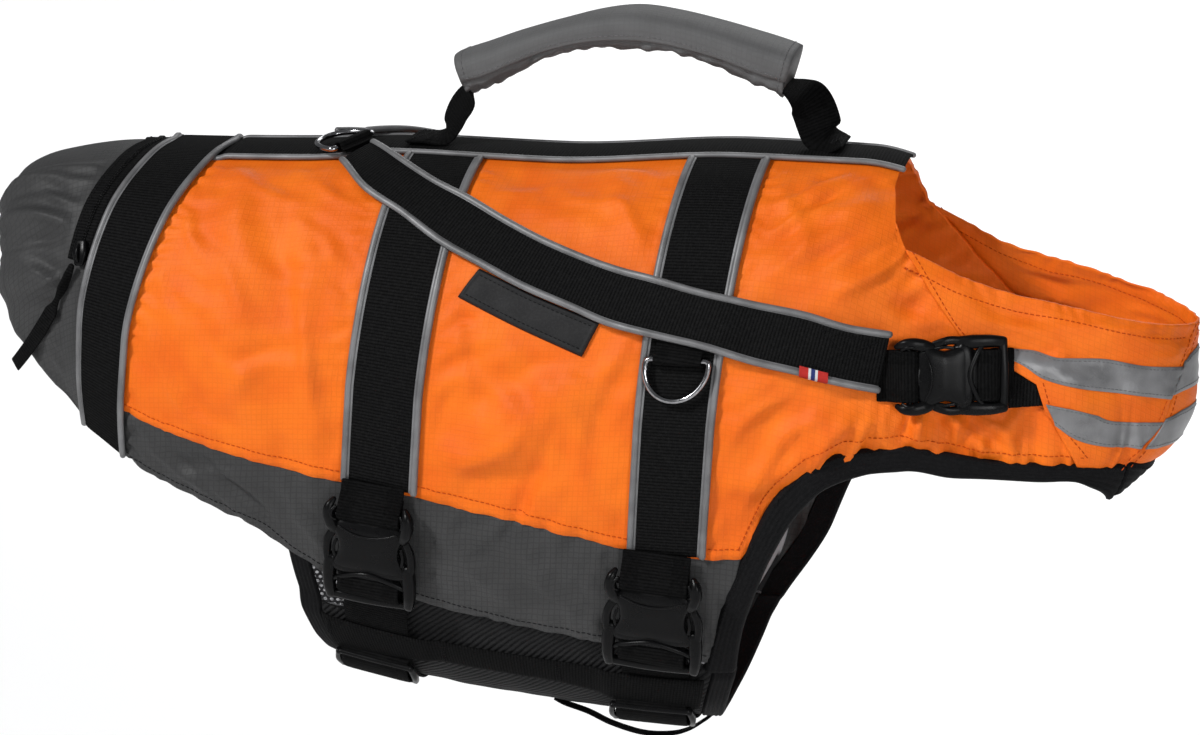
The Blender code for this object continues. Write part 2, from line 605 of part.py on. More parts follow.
def collar_tapes():
    def low(run, angle):
        return collar_face(run, angle) + 0.6 + 1.0 * (1.0 - smooth(run, 310.0, 335.0))
    def high(run, angle):
        return low(run, angle) + TAPE_WALL
    for name, (top, bottom) in (("upper", UPPER_TAPE), ("lower", LOWER_TAPE)):
        strip(f"tape_{name}_R", top, bottom, 10, low, high, "grey_reflective", -1)
    upper_top = UPPER_TAPE[0][:-1] + ((368, 77), (393, 73.5), (402, 74), (411.5, 76.5))
    upper_low = UPPER_TAPE[1][:-1] + ((362, 87.5), (393, 87.5), (412, 87.3), (421.5, 87.5))
    lower_top = LOWER_TAPE[0][:-2] + ((345, 92), (368, 92), (393, 91.5), (412, 91.5), (425.5, 92))
    lower_low = LOWER_TAPE[1][:-2] + ((340, 97), (368, 97.6), (393, 97.6), (418, 97.2), (435, 96.6))
    strip("tape_upper_L", upper_top, upper_low, 22, low, high, "grey_reflective", 1)
    strip("tape_lower_L", lower_top, lower_low, 22, low, high, "grey_reflective", 1)


# ---------------------------------------------------------------- webbing
def spine_band():
    strip("spine_band", SPINE_RIGHT, SPINE_LEFT, 23, LIFT, LIFT + WEBBING, "black_webbing", width=BAND_WIDTH,
          across=3)


def rear_band():
    low = LIFT + REAR_BAND_LIFT
    angles = np.array((-REAR_BAND_END, -105, -85, -65, -45, -25, 0, 25, 45, 65, 85, 105, REAR_BAND_END))
    middle = through_line(REAR_JOIN, np.abs(angles))
    a = tuple(zip(middle - REAR_BAND_HALF, angles))
    b = tuple(zip(middle + REAR_BAND_HALF, angles))
    strip("rear_band", a, b, 32, low, low + WEBBING, "black_webbing", width=2 * REAR_BAND_HALF)


def side_bands():
    for side, tag in ((-1, "R"), (1, "L")):
        for name, band in (("mid", MID_BAND), ("front", FRONT_BAND)):
            strip(f"{name}_band_{tag}", band["rear"], band["front"], 12, LIFT, LIFT + WEBBING,
                  "black_webbing", side, width=BAND_WIDTH)


STRAP_END_WALL = 1.5      # narrower webbing from each strap's buckle into the collar's slot


def shoulder_straps():
    """The straps cross over the bands, and lie a little higher over the side rings."""
    base = LIFT + WEBBING + PIPING * 0.5 + SEAM_GAP
    def low(run, angle):
        return base + 2.4 * (1.0 - smooth(np.abs(run - RING_PLACE[0]), 20.0, 40.0))
    def high(run, angle):
        return low(run, angle) + WEBBING
    def end_low(run, angle):
        return 1.0 + 2.2 * (1.0 - smooth(run, 260.0, 268.0))
    def end_high(run, angle):
        return end_low(run, angle) + STRAP_END_WALL
    for side, tag in ((-1, "R"), (1, "L")):
        strip(f"shoulder_strap_{tag}", STRAP_UPPER, STRAP_LOWER, 22, low, high, "black_webbing", side,
              width=BAND_WIDTH)
        strip(f"strap_end_{tag}", ((258, 74), (290, 75)), ((258, 84.5), (290, 84.5)), 7, end_low, end_high,
              "black_webbing", side)


def belly_webbing():
    def low(run, angle):
        return LIFT + belt_lift(run)
    def high(run, angle):
        return low(run, angle) + BELT
    top = ((-102.5, 139.4), (-88, 139.4), (-36, 139.2), (37, 139.2), (72, 139.4), (129, 140))
    bottom = ((-97, 151), (-91, 151), (-34, 147), (36, 147), (68, 149.5), (125, 152.5))
    for side, tag in ((-1, "R"), (1, "L")):
        strip(f"belly_webbing_{tag}", top, bottom, 20, low, high, "black_webbing", side)
    for name, centre in BELT_PLACES:
        half = WEBBING_WIDTH / 2
        turns = (131, 140, 160, 180, 200, 220, 229)
        a = tuple((centre - half, angle) for angle in turns)
        b = tuple((centre + half, angle) for angle in turns)
        strip(f"belly_strap_{name}", a, b, 14, BELT_LIFT, BELT_LIFT + BELT, "black_webbing")


# Upright sections of the sleeve in the middle plane; the webbing runs at a share of their height.
SLEEVE_COLUMNS = ("low_x", "low_z", "top_x", "top_z", "share")
SLEEVE_ROWS = (
    (-49, 37.5, -59, 62, 0.22),
    (-38.5, 42.5, -41, 67.7, 0.32),
    (-21.5, 51.5, -20, 75.3, 0.40),
    (-2, 60.7, 0.4, 82.3, 0.42),
    (22.5, 66.2, 23.7, 88.3, 0.42),
    (46.9, 67.1, 46.9, 91.3, 0.42),
    (71.2, 64.5, 69.9, 88.7, 0.42),
    (93.2, 58.4, 93, 83.7, 0.40),
    (113.4, 50, 115.4, 77.7, 0.32),
    (130.5, 42.5, 139, 71.7, 0.20),
)
FOOT_COLUMNS = ("x", "z", "twist", "width")
REAR_FOOT = ((-86, 11, 0, 34), (-77, 11.1, 0, 34), (-69.5, 11.9, 5, 30), (-64.3, 16, 25, 27),
             (-61.3, 23.5, 42, 26), (-59, 31, 40, 26), (-56.3, 37.8, 15, 30))
FRONT_FOOT = ((138.5, 45.6, 20, 30), (143.8, 41.5, 45, 28), (147.3, 35.5, 60, 27), (149.8, 28.8, 60, 27),
              (152.3, 22.5, 38, 27), (157, 18.8, 10, 30), (165, 17.8, 0, 34))


def handle():
    """Flat webbing that twists down to two feet on the spine band, in a padded sleeve."""
    sleeve = columns(SLEEVE_COLUMNS, SLEEVE_ROWS)
    low = np.stack([sleeve["low_x"], 0 * sleeve["low_x"], sleeve["low_z"]], -1)
    rise = np.stack([sleeve["top_x"], 0 * sleeve["top_x"], sleeve["top_z"]], -1) - low
    centre = low + rise * sleeve["share"][:, None]
    covered = np.stack([centre[:, 0], centre[:, 2], 0 * centre[:, 0], 0 * centre[:, 0] + HANDLE_WIDTH], -1)
    rows = np.concatenate([REAR_FOOT, covered, FRONT_FOOT])
    table = columns(FOOT_COLUMNS, rows)
    points = np.stack([table["x"], 0 * table["x"], table["z"]], -1)
    tangent = np.gradient(points, axis=0)
    tangent /= np.linalg.norm(tangent, axis=1, keepdims=True)
    across = np.array((0.0, 1.0, 0.0))
    twist = np.radians(table["twist"])[:, None]
    wide = across * np.cos(twist) + np.cross(tangent, across) * np.sin(twist)
    bent_strip("handle_webbing", points, table["width"], HANDLE_WEBBING, wide, "black_webbing")

    height = np.linalg.norm(rise, axis=1)[:, None]
    up = rise / height
    turns = np.radians(np.arange(0, 360, 30) + 15.0)
    square_cos = np.sign(np.cos(turns)) * np.abs(np.cos(turns)) ** 0.6
    square_sin = np.sign(np.sin(turns)) * np.abs(np.sin(turns)) ** 0.6
    def ring(middle, half_wide, half_high):
        lift = up[:, None] * (square_sin[None, :] * half_high)[..., None]
        return middle[:, None] + across * (square_cos * half_wide)[None, :, None] + lift
    outer = ring(low + rise / 2.0, SLEEVE_HALF, height / 2.0)
    inner = ring(centre, HANDLE_WIDTH / 2.0 + 2.1, HANDLE_WEBBING / 2.0 + 1.6)
    tube_wall("handle_sleeve", outer, inner, "grey_ripstop")


# ---------------------------------------------------------------- rings
def keeper(name, centre, inward, outward, wide_axis, width, reach, finish):
    """Webbing folded round a ring's bar. inward points from the bar to where it is sewn down."""
    radius = RING_WIRE + 0.5 + KEEPER / 2
    turns = np.radians(np.linspace(270.0, 90.0, 8))
    path = [(reach, -radius), (radius * 0.8, -radius)]
    path += [(radius * np.cos(t), radius * np.sin(t)) for t in turns]
    lower = KEEPER + 0.4 - radius
    path += [(radius * 0.8, radius * 0.9), (reach * 0.6, lower), (reach, lower)]
    path = np.array([p for k, p in enumerate(path) if k != 2])
    centre, inward, outward = [np.asarray(v, float) for v in (centre, inward, outward)]
    points = centre + path[:, :1] * inward + path[:, 1:] * outward
    return bent_strip(name, points, width, KEEPER, wide_axis, finish)


def rings():
    """The ring on the spine lies askew, turned to the right and flat; the side ones hang down."""
    yaw, roll, drop = np.radians((30.0, 9.0, 2.0))
    centre = np.array((-116.3, -23.0, 11.4))
    bar = np.array((np.sin(yaw) * np.cos(roll), np.cos(yaw) * np.cos(roll), np.sin(roll)))
    down = np.array((-np.cos(yaw), np.sin(yaw), -np.sin(drop)))
    down -= bar * down.dot(bar)
    down /= np.linalg.norm(down)
    wire_ring("spine_ring", centre, bar, down, 17.0, RING_DEPTH, RING_WIRE, "chrome")
    keeper("spine_ring_keeper", centre, -down, np.cross(bar, down) * -1.0, bar, 25.0, 5.5, "black_webbing")
    run, angle, height = RING_PLACE
    for side, tag in ((-1, "R"), (1, "L")):
        axes = frame_at(np.array([run]), np.array([angle]), side)
        point, ahead, down, normal = [v.reshape(3) for v in axes]
        centre = point + normal * height
        wire_ring(f"side_ring_{tag}", centre, ahead, down, 18.0, RING_DEPTH, RING_WIRE, "chrome")
        keeper(f"side_ring_keeper_{tag}", centre, -down, normal, ahead, 27.0, 12.0, "black_webbing")


# ---------------------------------------------------------------- buckles and sliders
def half_outline(points):
    """A closed outline from its right half, top to bottom, mirrored to the left."""
    return list(points) + [(-x, y) for x, y in reversed(points)]


SOCKET_WALL = 8.5
PLUG_WALL = 7.5
BUCKLE_COLUMNS = ("name", "run", "angle", "out", "width", "length", "turn")
BUCKLE_ROWS = (
    ("mid_buckle", -68.0, 117.5, 3.4, 56.0, 66.0, 0.0),
    ("front_buckle", 101.0, 122.5, 3.4, 58.0, 66.0, 0.0),
    ("shoulder_buckle", 242.0, 76.5, 5.6, 43.0, 62.0, 96.0),
)


def buckle(name, run, angle, out, side, width, length, turn=0.0):
    """Side-release buckle: the socket's body, and a plug whose two arms grip it at the sides.

    The webbing folded round the plug's bar fills its slot, so the two are one solid there.
    """
    w, a, b = width / 2, -length / 2, length / 2
    waist = w * 0.7
    cheek = waist + 0.8
    socket = half_outline(((w * 0.66, a + 7), (w * 0.74, a), (w * 0.95, a + 1), (w, a + 8),
                           (w * 0.84, a + 15), (waist, a + 19), (waist, b - 26), (w * 0.5, b - 26),
                           (w * 0.3, b - 30)))
    arms = half_outline(((w * 0.3, b - 29.2), (w * 0.5, b - 25.2), (cheek, b - 25.2), (cheek, a + 21),
                         (w * 0.9, a + 17.5), (w * 0.92, b - 32), (w, b - 22), (w, b - 4), (w * 0.9, b)))
    plate(f"{name}_socket", socket, SOCKET_WALL, run, angle, out, side, "black_plastic", turn=turn)
    plate(f"{name}_plug", arms, PLUG_WALL, run, angle, out + (SOCKET_WALL - PLUG_WALL) / 2, side,
          "black_plastic", turn=turn)


def buckles():
    for row in BUCKLE_ROWS:
        sizes = dict(zip(BUCKLE_COLUMNS, row))
        name, turn = sizes.pop("name"), sizes.pop("turn")
        for side, tag in ((-1, "R"), (1, "L")):
            buckle(f"{name}_{tag}", side=side, turn=-side * turn, **sizes)


TRIGLIDE_WALL = 3.6
TRIGLIDE_PLACE = (-3.0, 155.8, 3.9)      # run from the belt's middle, angle and height


def triglides():
    half = ((22, -11), (24, -9), (24, 9), (22, 11))
    ahead, angle, out = TRIGLIDE_PLACE
    for side, tag in ((-1, "R"), (1, "L")):
        for name, centre in BELT_PLACES:
            plate(f"{name}_triglide_{tag}", half_outline(half), TRIGLIDE_WALL, centre + ahead, angle, out,
                  side, "black_plastic")


# ---------------------------------------------------------------- zip, patch, tag and elastic
ZIP_END = 69.0            # angle at which the zip stops, on both sides
ZIP_WIDTH = 16.5
ZIP_WALL = 1.0
ZIP_LIFT = 0.4


def zip_parts():
    """The zip runs behind the rear band, and its pull hangs down over the rump at the right."""
    angles = np.linspace(-ZIP_END, ZIP_END, 13)
    edge = through_line(REAR_JOIN, np.abs(angles)) - REAR_BAND_HALF - 0.5
    a = tuple(zip(edge, angles))
    b = tuple(zip(edge - ZIP_WIDTH, angles))
    strip("zip_tape", a, b, 24, ZIP_LIFT, ZIP_LIFT + ZIP_WALL, "black_webbing")
    block = ((-4.5, -6), (4.5, -6), (5, 2), (3, 7), (-3, 7), (-5, 2))
    plate("zip_slider", block, 3.0, -263.5, 66.0, 1.8, -1, "black_plastic")
    start = place(-268.0, 71.5, 5.0).reshape(3)
    end = place(-318.0, 110.5, 5.5).reshape(3)
    bulge = place(-293.0, 92.0, 3.6).reshape(3)
    t = np.linspace(0.0, 1.0, 7)[:, None]
    path = start * (1 - t) * (1 - 2 * t) + bulge * 4 * t * (1 - t) + end * t * (2 * t - 1)
    normal = frame_at(np.array([-293.0]), np.array([92.0]), -1)[3].reshape(3)
    wide = np.cross(end - start, normal)
    pull = bent_strip("zip_pull", path, 8.5, 1.4, wide, "black_webbing")
    pull.data.transform(Matrix.Translation(Vector(-start * MM)))
    pull.location = start * MM


PATCH_UPPER = ((-20, 56.6), (16, 63.2), (54, 68.9))
PATCH_LOWER = ((-29, 64.4), (10, 71), (47, 76.5))
PATCH_WALL = 2.0
TAG_UPPER = ((168, 74.4), (182.5, 75.8))
TAG_LOWER = ((168.5, 77.2), (183, 78.6))
TAG_FACES = (9.2, 10.2)   # it is folded over the piping at the shoulder strap's lower edge


def patch_and_tag():
    strip("side_patch", PATCH_UPPER, PATCH_LOWER, 8, LIFT, LIFT + PATCH_WALL, "rubber_patch")
    strip("flag_tag", TAG_UPPER, TAG_LOWER, 3, *TAG_FACES, "red_tag")


# A loose loop of thin elastic under the belly, its middle line in the frame's own x, y and z.
ELASTIC_LINE = ((8, -22, -320.2), (21.7, -22, -323.6), (35.6, -22, -329.6), (54.1, -22, -334.2),
                (70.9, -22, -333.6), (82.2, -22, -329.8), (91.5, -22, -323.4))


def belly_elastic():
    bent_strip("belly_elastic", ELASTIC_LINE, 8.0, 1.2, (0, 1, 0), "black_elastic")


def main():
    for old in list(bpy.data.objects):
        bpy.data.objects.remove(old, do_unlink=True)
    group = bpy.data.collections.new("dog_life_jacket")
    bpy.context.scene.collection.children.link(group)
    side_panels()
    flank_panels()
    rump_panel()
    collars()
    belly_panel()
    edge_bindings()
    belly_bindings()
    collar_tapes()
    spine_band()
    rear_band()
    side_bands()
    shoulder_straps()
    belly_webbing()
    handle()
    rings()
    buckles()
    triglides()
    zip_parts()
    patch_and_tag()
    belly_elastic()


main()
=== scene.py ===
"""A dog life jacket as it is worn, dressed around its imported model.

A place on the vest is a run along the body in millimetres and an angle round it in degrees, 0 at the
spine and 180 under the belly. Cloth is a thin shell over a grid of such places, moved out from the
body's form by the height of its folds. What lies on it uses the same heights and adds its own.
"""

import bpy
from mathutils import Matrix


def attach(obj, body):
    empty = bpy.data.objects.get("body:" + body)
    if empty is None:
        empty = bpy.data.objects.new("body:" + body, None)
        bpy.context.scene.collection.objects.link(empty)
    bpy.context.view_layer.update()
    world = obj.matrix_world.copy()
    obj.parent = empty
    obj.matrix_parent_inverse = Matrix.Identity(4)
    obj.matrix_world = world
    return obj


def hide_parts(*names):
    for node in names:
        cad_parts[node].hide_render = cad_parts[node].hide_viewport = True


bl_info = {
    "name": "Dog life jacket",
    "version": (1, 0, 0),
    "blender": (4, 5, 0),
    "location": "3D View > Sidebar > Life jacket",
    "description": "Builds the cloth, webbing, buckles and stitching of a dog life jacket",
    "category": "Object",
}

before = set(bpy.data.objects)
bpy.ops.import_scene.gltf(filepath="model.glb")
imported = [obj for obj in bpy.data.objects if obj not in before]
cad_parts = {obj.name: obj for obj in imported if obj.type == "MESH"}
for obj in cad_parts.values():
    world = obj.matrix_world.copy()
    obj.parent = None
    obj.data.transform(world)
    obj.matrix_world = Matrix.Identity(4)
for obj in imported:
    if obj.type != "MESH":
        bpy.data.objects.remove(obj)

import bpy
import numpy as np
from mathutils import Vector

MM = 0.001
TINY = 1e-9
SIDES = ((-1, "R"), (1, "L"))

# ---------------------------------------------------------------- sizes (mm) and lines, as in the model
FOAM_WALL = 6.0
CLOTH_WALL = 2.4
BELLY_WALL = 3.6
BINDING_WALL = 4.0
BELLY_DEPTH = 3.7
WEBBING = 2.0
BELT = 1.6
BELT_LIFT = 0.9
LIFT = 0.5
PIPING = 4.0
NOSE_RUN = 393.0  # the middle of the chest
DEGREE = 1.9  # mm round the body for each degree, on average
RIM_SHARE = 0.35  # how far a cloth's rim stands out, as a share of its wall
FORM_COLUMNS = ("run", "station", "slant", "crown", "wide", "keel", "half_width", "tuck")
FORM_ROWS = (
    (-336, -336, 10, -38, -88, -168, 42, 0),
    (-319, -319, 12, -14, -87, -176, 56, 0),
    (-300, -300, 14, -6, -86, -184, 65, 0),
    (-255, -255, -6, 1, -92, -210, 80, 0),
    (-200, -200, -24, 2, -102, -246, 90, 0),
    (-140, -140, -26, 4, -109, -284, 96, 0),
    (-90, -90, -28, 7, -115, -302, 99, 0),
    (0, 0, -30, 6, -125, -317, 104, 0),
    (110, 110, -34, 13, -130, -324, 106, 0),
    (180, 180, -30, 12, -130, -318, 98, 0),
    (215, 215, -20, 4, -128, -312, 84, 0),
    (260, 260, -10, -14, -125, -302, 72, 0),
    (310, 310, 0, -25, -120, -296, 58, 2),
    (346, 343, 0, -30, -118, -290, 40, 12),
    (370, 359, 0, -32, -117, -288, 22, 20),
    (393, 366, 0, -33, -116, -287, 0, 25),
)
REAR_JOIN = ((-212, 0), (-220, 25), (-229, 45), (-236, 65), (-243, 85), (-247, 107), (-247, 122))
GREY_SEAM = ((-247, 107), (-224, 107), (-150, 106), (-88, 105.3), (-42, 105), (20, 106.6), (83, 109),
             (128, 110), (146.4, 110))
FLANK_EDGE = ((-247, 122), (-224, 122), (-146, 121), (-100, 127), (-46, 128), (20, 130), (76, 131.5),
              (118, 134), (131, 135))
LEG_EDGE = ((131, 135), (135, 127), (139, 120), (143, 115), (148, 110), (154, 105), (161, 100),
            (170, 96.5), (183, 93.5), (197, 92), (219, 92), (243, 93.5), (267, 95.5), (290, 96.8),
            (315, 98), (338, 98.9))
LEG_HEM = ((146, 136), (148, 128), (152, 121), (158, 113.5), (165, 107.5), (171, 103.5), (178, 100.5),
           (186, 98), (198, 96.5), (208, 96), (222, 96), (244, 97.6), (268, 98.8), (288, 99.9),
           (306, 100.6), (318, 102.2), (342, 106.2))
CHEST_TOP = ((344, 99.2), (365, 100.8), (388, 101.7), (412, 101.2), (432, 100), (445.5, 99))
CHEST_HEM = ((344, 105), (365, 106.6), (388, 107.4), (412, 107), (430, 106.2), (440.5, 105.6))
COLLAR_SEAM = ((212, 44), (227, 55), (247, 67), (268, 73), (283, 78.5), (289, 88), (308, 96.5))
CHEST_SEAM = ((388, 63), (384, 67), (371, 78), (358.5, 91), (338, 98.6))
NECK_EDGE = ((212, 44), (226, 46.2), (240, 48.2), (256, 49.3), (273, 51), (290, 52.2), (306, 54),
             (322, 56.5))
STRAP_UPPER = ((-103.5, 9.8), (-85, 18.7), (-57, 29), (-36, 34), (-9, 41), (19, 47), (55, 53), (81, 56),
               (110, 59), (138, 61), (166, 63), (192, 66), (209, 67))
STRAP_LOWER = ((-117, 22), (-96, 35), (-72, 42), (-45, 50), (-19, 55), (8, 60), (35, 64), (62, 68),
               (87, 70), (116, 72), (144, 75), (168, 77), (206, 81))
STRAP_MIDDLE = tuple(((a[0] + b[0]) / 2, (a[1] + b[1]) / 2) for a, b in zip(STRAP_UPPER, STRAP_LOWER))
PATCH_MIDDLE = ((-25, 60.5), (13, 67), (50, 72.7))
MID_BAND = (((-84, 13.4), (-88, 104.5)), ((-38, 13.4), (-42, 104.5)))
FRONT_BAND = (((81, 13.4), (80, 50), (83, 109.5)), ((128, 13.4), (127, 50), (128, 109.5)))
REAR_BAND_HALF = 20.5
SPINE_RIGHT = ((-200, 17), (-150, 16.8), (-118, 16), (-93, 13), (-60, 12.6), (201, 12.6))
SPINE_LEFT = ((-197, -8.4), (-150, -8.4), (-118, -9.2), (-93, -12.2), (-60, -12.6), (201, -12.6))
BELTS = (("mid", -68.0), ("front", 101.0))
UPPER_TAPE = (((268, 68.5), (281, 69), (295, 71.5), (316, 72), (341, 75.5), (366, 78.3)),
              ((270, 71.5), (277, 73.5), (287, 77.5), (305, 81), (328, 84), (357, 88.2)))
LOWER_TAPE = (((289, 85), (301, 87), (325, 91), (345, 92), (353, 92.3)),
              ((294, 90.5), (305, 93), (318, 94.5), (332, 95.5), (340, 96)))

# A fold is a soft ridge, or a trough where its height is below zero, from one place to another.
FOLD_COLUMNS = ("run_a", "angle_a", "run_b", "angle_b", "spread", "height")
MAIN_FOLDS = (
    (-175, 30, -150, 88, 11, 2.4), (-150, 45, -118, 80, 10, -2.2), (-185, 70, -135, 100, 10, 2.0),
    (-120, 58, -108, 98, 9, 2.2), (-20, 98, 50, 86, 8, 2.4), (-24, 102, 30, 99, 7, -1.8),
    (5, 93, 62, 104, 8, 1.8), (40, 20, 66, 42, 9, 2.0), (-15, 22, 20, 30, 9, -1.8),
    (142, 58, 185, 30, 9, 2.8), (150, 46, 190, 22, 9, -2.2), (162, 66, 205, 48, 9, 2.6),
    (140, 94, 200, 86, 9, 2.8), (142, 103, 172, 95, 8, -2.4), (186, 89, 214, 85, 7, 2.6),
    (216, 90, 236, 86, 6, 2.6), (240, 91, 256, 86, 6, 2.2), (262, 92, 276, 88, 6, 2.4),
    (-340, 21, -268, 26, 7, 2.4), (-334, 35, -290, 38, 6, -1.8), (-338, 48, -266, 54, 7, 2.6),
    (-334, 66, -285, 62, 6, -2.6), (-334, 82, -278, 76, 7, 2.6), (-322, 91, -285, 88, 6, -1.6),
    (-318, 100, -270, 96, 7, 2.0),
    (320, 64, 362, 70, 8, 1.2),
    (-34, 101, 70, 74, 9, 2.0), (-34, 94, 66, 67, 8, -2.2), (132, 88, 176, 70, 8, 1.8),
    (134, 96, 172, 80, 7, -1.8),
)


def unit(vectors):
    """The same directions, each one long."""
    return vectors / np.linalg.norm(vectors, axis=-1, keepdims=True)


def travelled(points):
    """Distance along a row of points from its first."""
    return np.concatenate([[0.0], np.cumsum(np.linalg.norm(np.diff(points, axis=0), axis=1))])


def at_distance(where, travel, values):
    """Rows of a table at distances along it, on straight lines between its own."""
    return np.stack([np.interp(where, travel, column) for column in values.T], -1)


def superellipse(turn, power):
    """cos and sin of the turn, each as its sign * |value|^power."""
    return [np.sign(value) * np.abs(value) ** power for value in (np.cos(turn), np.sin(turn))]


def columns(names, rows):
    """A table as one array for each named column."""
    table = np.array(rows, float)
    return {name: table[:, place] for place, name in enumerate(names)}


def smooth(x, low, high):
    """0 below low, 1 above high and 3t^2 - 2t^3 between them."""
    t = np.clip((np.asarray(x, float) - low) / (high - low), 0.0, 1.0)
    return t * t * (3.0 - 2.0 * t)


def through(knots, values, at):
    """A curve through the knots that never overshoots them: a monotone cubic."""
    step = np.diff(knots)
    slope = np.diff(values) / step
    first, second = slope[:-1], slope[1:]
    near = 2.0 * step[1:] + step[:-1]
    far = step[1:] + 2.0 * step[:-1]
    same = first * second > 0.0
    safe_first, safe_second = [np.where(same, slopes, 1.0) for slopes in (first, second)]
    inner = np.where(same, (near + far) / (near / safe_first + far / safe_second), 0.0)
    tangent = np.concatenate([slope[:1], inner, slope[-1:]])
    index = np.clip(np.searchsorted(knots, at) - 1, 0, len(step) - 1)
    width = step[index]
    t = (at - knots[index]) / width
    return (values[index] * (1 + 2 * t) * (1 - t) ** 2 + tangent[index] * width * t * (1 - t) ** 2
            + values[index + 1] * t * t * (3 - 2 * t) + tangent[index + 1] * width * t * t * (t - 1))


def form_table():
    """The form's columns, with the rows past the middle of the chest mirrored from those before."""
    table = columns(FORM_COLUMNS, FORM_ROWS)
    full = {name: np.concatenate([values, values[-2::-1]]) for name, values in table.items()}
    count = len(table["run"])
    full["run"][count:] = 2 * NOSE_RUN - full["run"][count:]
    full["half_width"][count:] *= -1.0
    return full


FORM = form_table()
FOLDS = columns(FOLD_COLUMNS, MAIN_FOLDS)


def ring_angle(angle):
    """The angle from the spine, 0 to 180, on whichever side it is."""
    return 180.0 - np.abs(np.abs(angle) - 180.0)


def far_lean(run, ring, y):
    """How far the left leg opening sits forward of the right one."""
    beside = smooth(y, 30.0, 70.0) * smooth(ring, 97.0, 110.0) * (1.0 - smooth(ring, 120.0, 144.0))
    return 19.0 * beside * smooth(run, 90.0, 145.0) * (1.0 - smooth(run, 185.0, 225.0))


def body(run, angle, side):
    """Points of the bare form: each ring is a superellipse above its widest line and one below."""
    station, slant, crown, wide, keel, half_width, tuck = [
        through(FORM["run"], FORM[name], run) for name in FORM_COLUMNS[1:]]
    turn = np.radians(angle)
    rise, spread = superellipse(turn, 0.92)
    low = np.clip((angle - 90.0) / 13.0, 0.0, 1.3)
    y = side * half_width * spread
    x = station + slant * (1.0 - np.cos(turn)) / 2.0 - tuck * low ** 2 + far_lean(run, ring_angle(angle), y)
    z = wide + np.where(rise >= 0.0, crown - wide, wide - keel) * rise
    return np.stack([x, y, z], -1)


def frame_at(run, angle, side):
    """Point, direction along the run, direction round the body and outward direction."""
    ahead = body(run + 0.5, angle, side) - body(run - 0.5, angle, side)
    around = body(run, angle + 0.5, side) - body(run, angle - 0.5, side)
    return [body(run, angle, side), unit(ahead), unit(around), unit(np.cross(ahead, around) * side)]


def place(run, angle, out=0.0, side=-1):
    """Points on the form moved out along its normal; side is -1 on the dog's right, 1 on its left."""
    run, angle, out = np.broadcast_arrays(*[np.asarray(value, float) for value in (run, angle, out)])
    point, _, _, normal = frame_at(run, angle, side)
    return point + normal * out[..., None]


def girth_table():
    """Distance round the body from the spine, summed over steps of two degrees on every tenth run."""
    runs = np.arange(-340.0, 790.0, 10.0)
    turns = np.arange(0.0, 182.0, 2.0)
    points = body(runs[:, None] + 0 * turns, turns + 0 * runs[:, None], -1)
    steps = np.linalg.norm(np.diff(points, axis=1), axis=-1)
    return runs, turns, np.concatenate([np.zeros((len(runs), 1)), np.cumsum(steps, 1)], 1)


GIRTH = girth_table()


def girth(run, angle):
    """Distance round the body from the spine to a place, interpolated in the table."""
    runs, turns, table = GIRTH
    r = np.clip((run - runs[0]) / 10.0, 0, len(runs) - 1.001)
    a = np.clip(np.abs(angle) / 2.0, 0, len(turns) - 1.001)
    i, j = r.astype(int), a.astype(int)
    u, v = r - i, a - j
    value = ((table[i, j] * (1 - v) + table[i, j + 1] * v) * (1 - u)
             + (table[i + 1, j] * (1 - v) + table[i + 1, j + 1] * v) * u)
    return value * np.sign(angle)


def through_line(line, angle):
    """Run of a line on the form at an angle."""
    table = np.array(line, float)
    return np.interp(angle, table[:, 1], table[:, 0])


def along(line, fractions):
    """Run and angle at fractions of the length of a line on the form."""
    table = np.array(line, float)
    lengths = np.hypot(np.diff(table[:, 0]), np.diff(table[:, 1]) * DEGREE)
    knots = np.concatenate([[0.0], np.cumsum(lengths)])
    at = np.asarray(fractions, float) * knots[-1]
    if len(table) == 2:
        return np.interp(at, knots, table[:, 0]), np.interp(at, knots, table[:, 1])
    return through(knots, table[:, 0], at), through(knots, table[:, 1], at)


def shifted(line, run=0.0, angle=0.0):
    """A line of the form moved along it and round it."""
    return tuple((point[0] + run, point[1] + angle) for point in line)


def mirrored_chest(line):
    """The same line seen from the other side of the chest's middle."""
    return tuple((2 * NOSE_RUN - run, angle) for run, angle in line)


# ---------------------------------------------------------------- folds
def waves(x, y, seed, scale, count=7):
    """A smooth uneven field: a sum of sines in seeded directions, about 1 high, scale mm across."""
    rng = np.random.default_rng(seed)
    total = 0.0
    for _ in range(count):
        turn, phase = rng.uniform(0, 2 * np.pi, 2)
        size = scale * rng.uniform(0.7, 1.6)
        total = total + np.sin(2 * np.pi * (x * np.cos(turn) + y * np.sin(turn)) / size + phase)
    return total / np.sqrt(count)


def stretch(a, b, run, ring):
    """Against a straight stretch from a to b, (run, angle) each: its size, how far along it and past an end
    places lie, as shares of it, and how far beside it in mm."""
    dx, dy = b[0] - a[0], (b[1] - a[1]) * DEGREE
    px, py = run - a[0], (ring - a[1]) * DEGREE
    size = np.hypot(dx, dy)
    t = (px * dx + py * dy) / size ** 2
    inside = np.clip(t, 0.0, 1.0)
    return size, inside, np.abs(t - inside), (px * dy - py * dx) / size


def off_line(line, run, ring):
    """Distance in mm from a line of the form, over its straight stretches, and how far along it."""
    best = np.full(run.shape, 1e6)
    travel = np.zeros(run.shape)
    start = 0.0
    for a, b in zip(line[:-1], line[1:]):
        size, t, past, beside = stretch(a, b, run, ring)
        away = np.hypot(past * size, beside)
        nearer = away < best
        best = np.where(nearer, away, best)
        travel = np.where(nearer, start + t * size, travel)
        start += size
    return best, travel


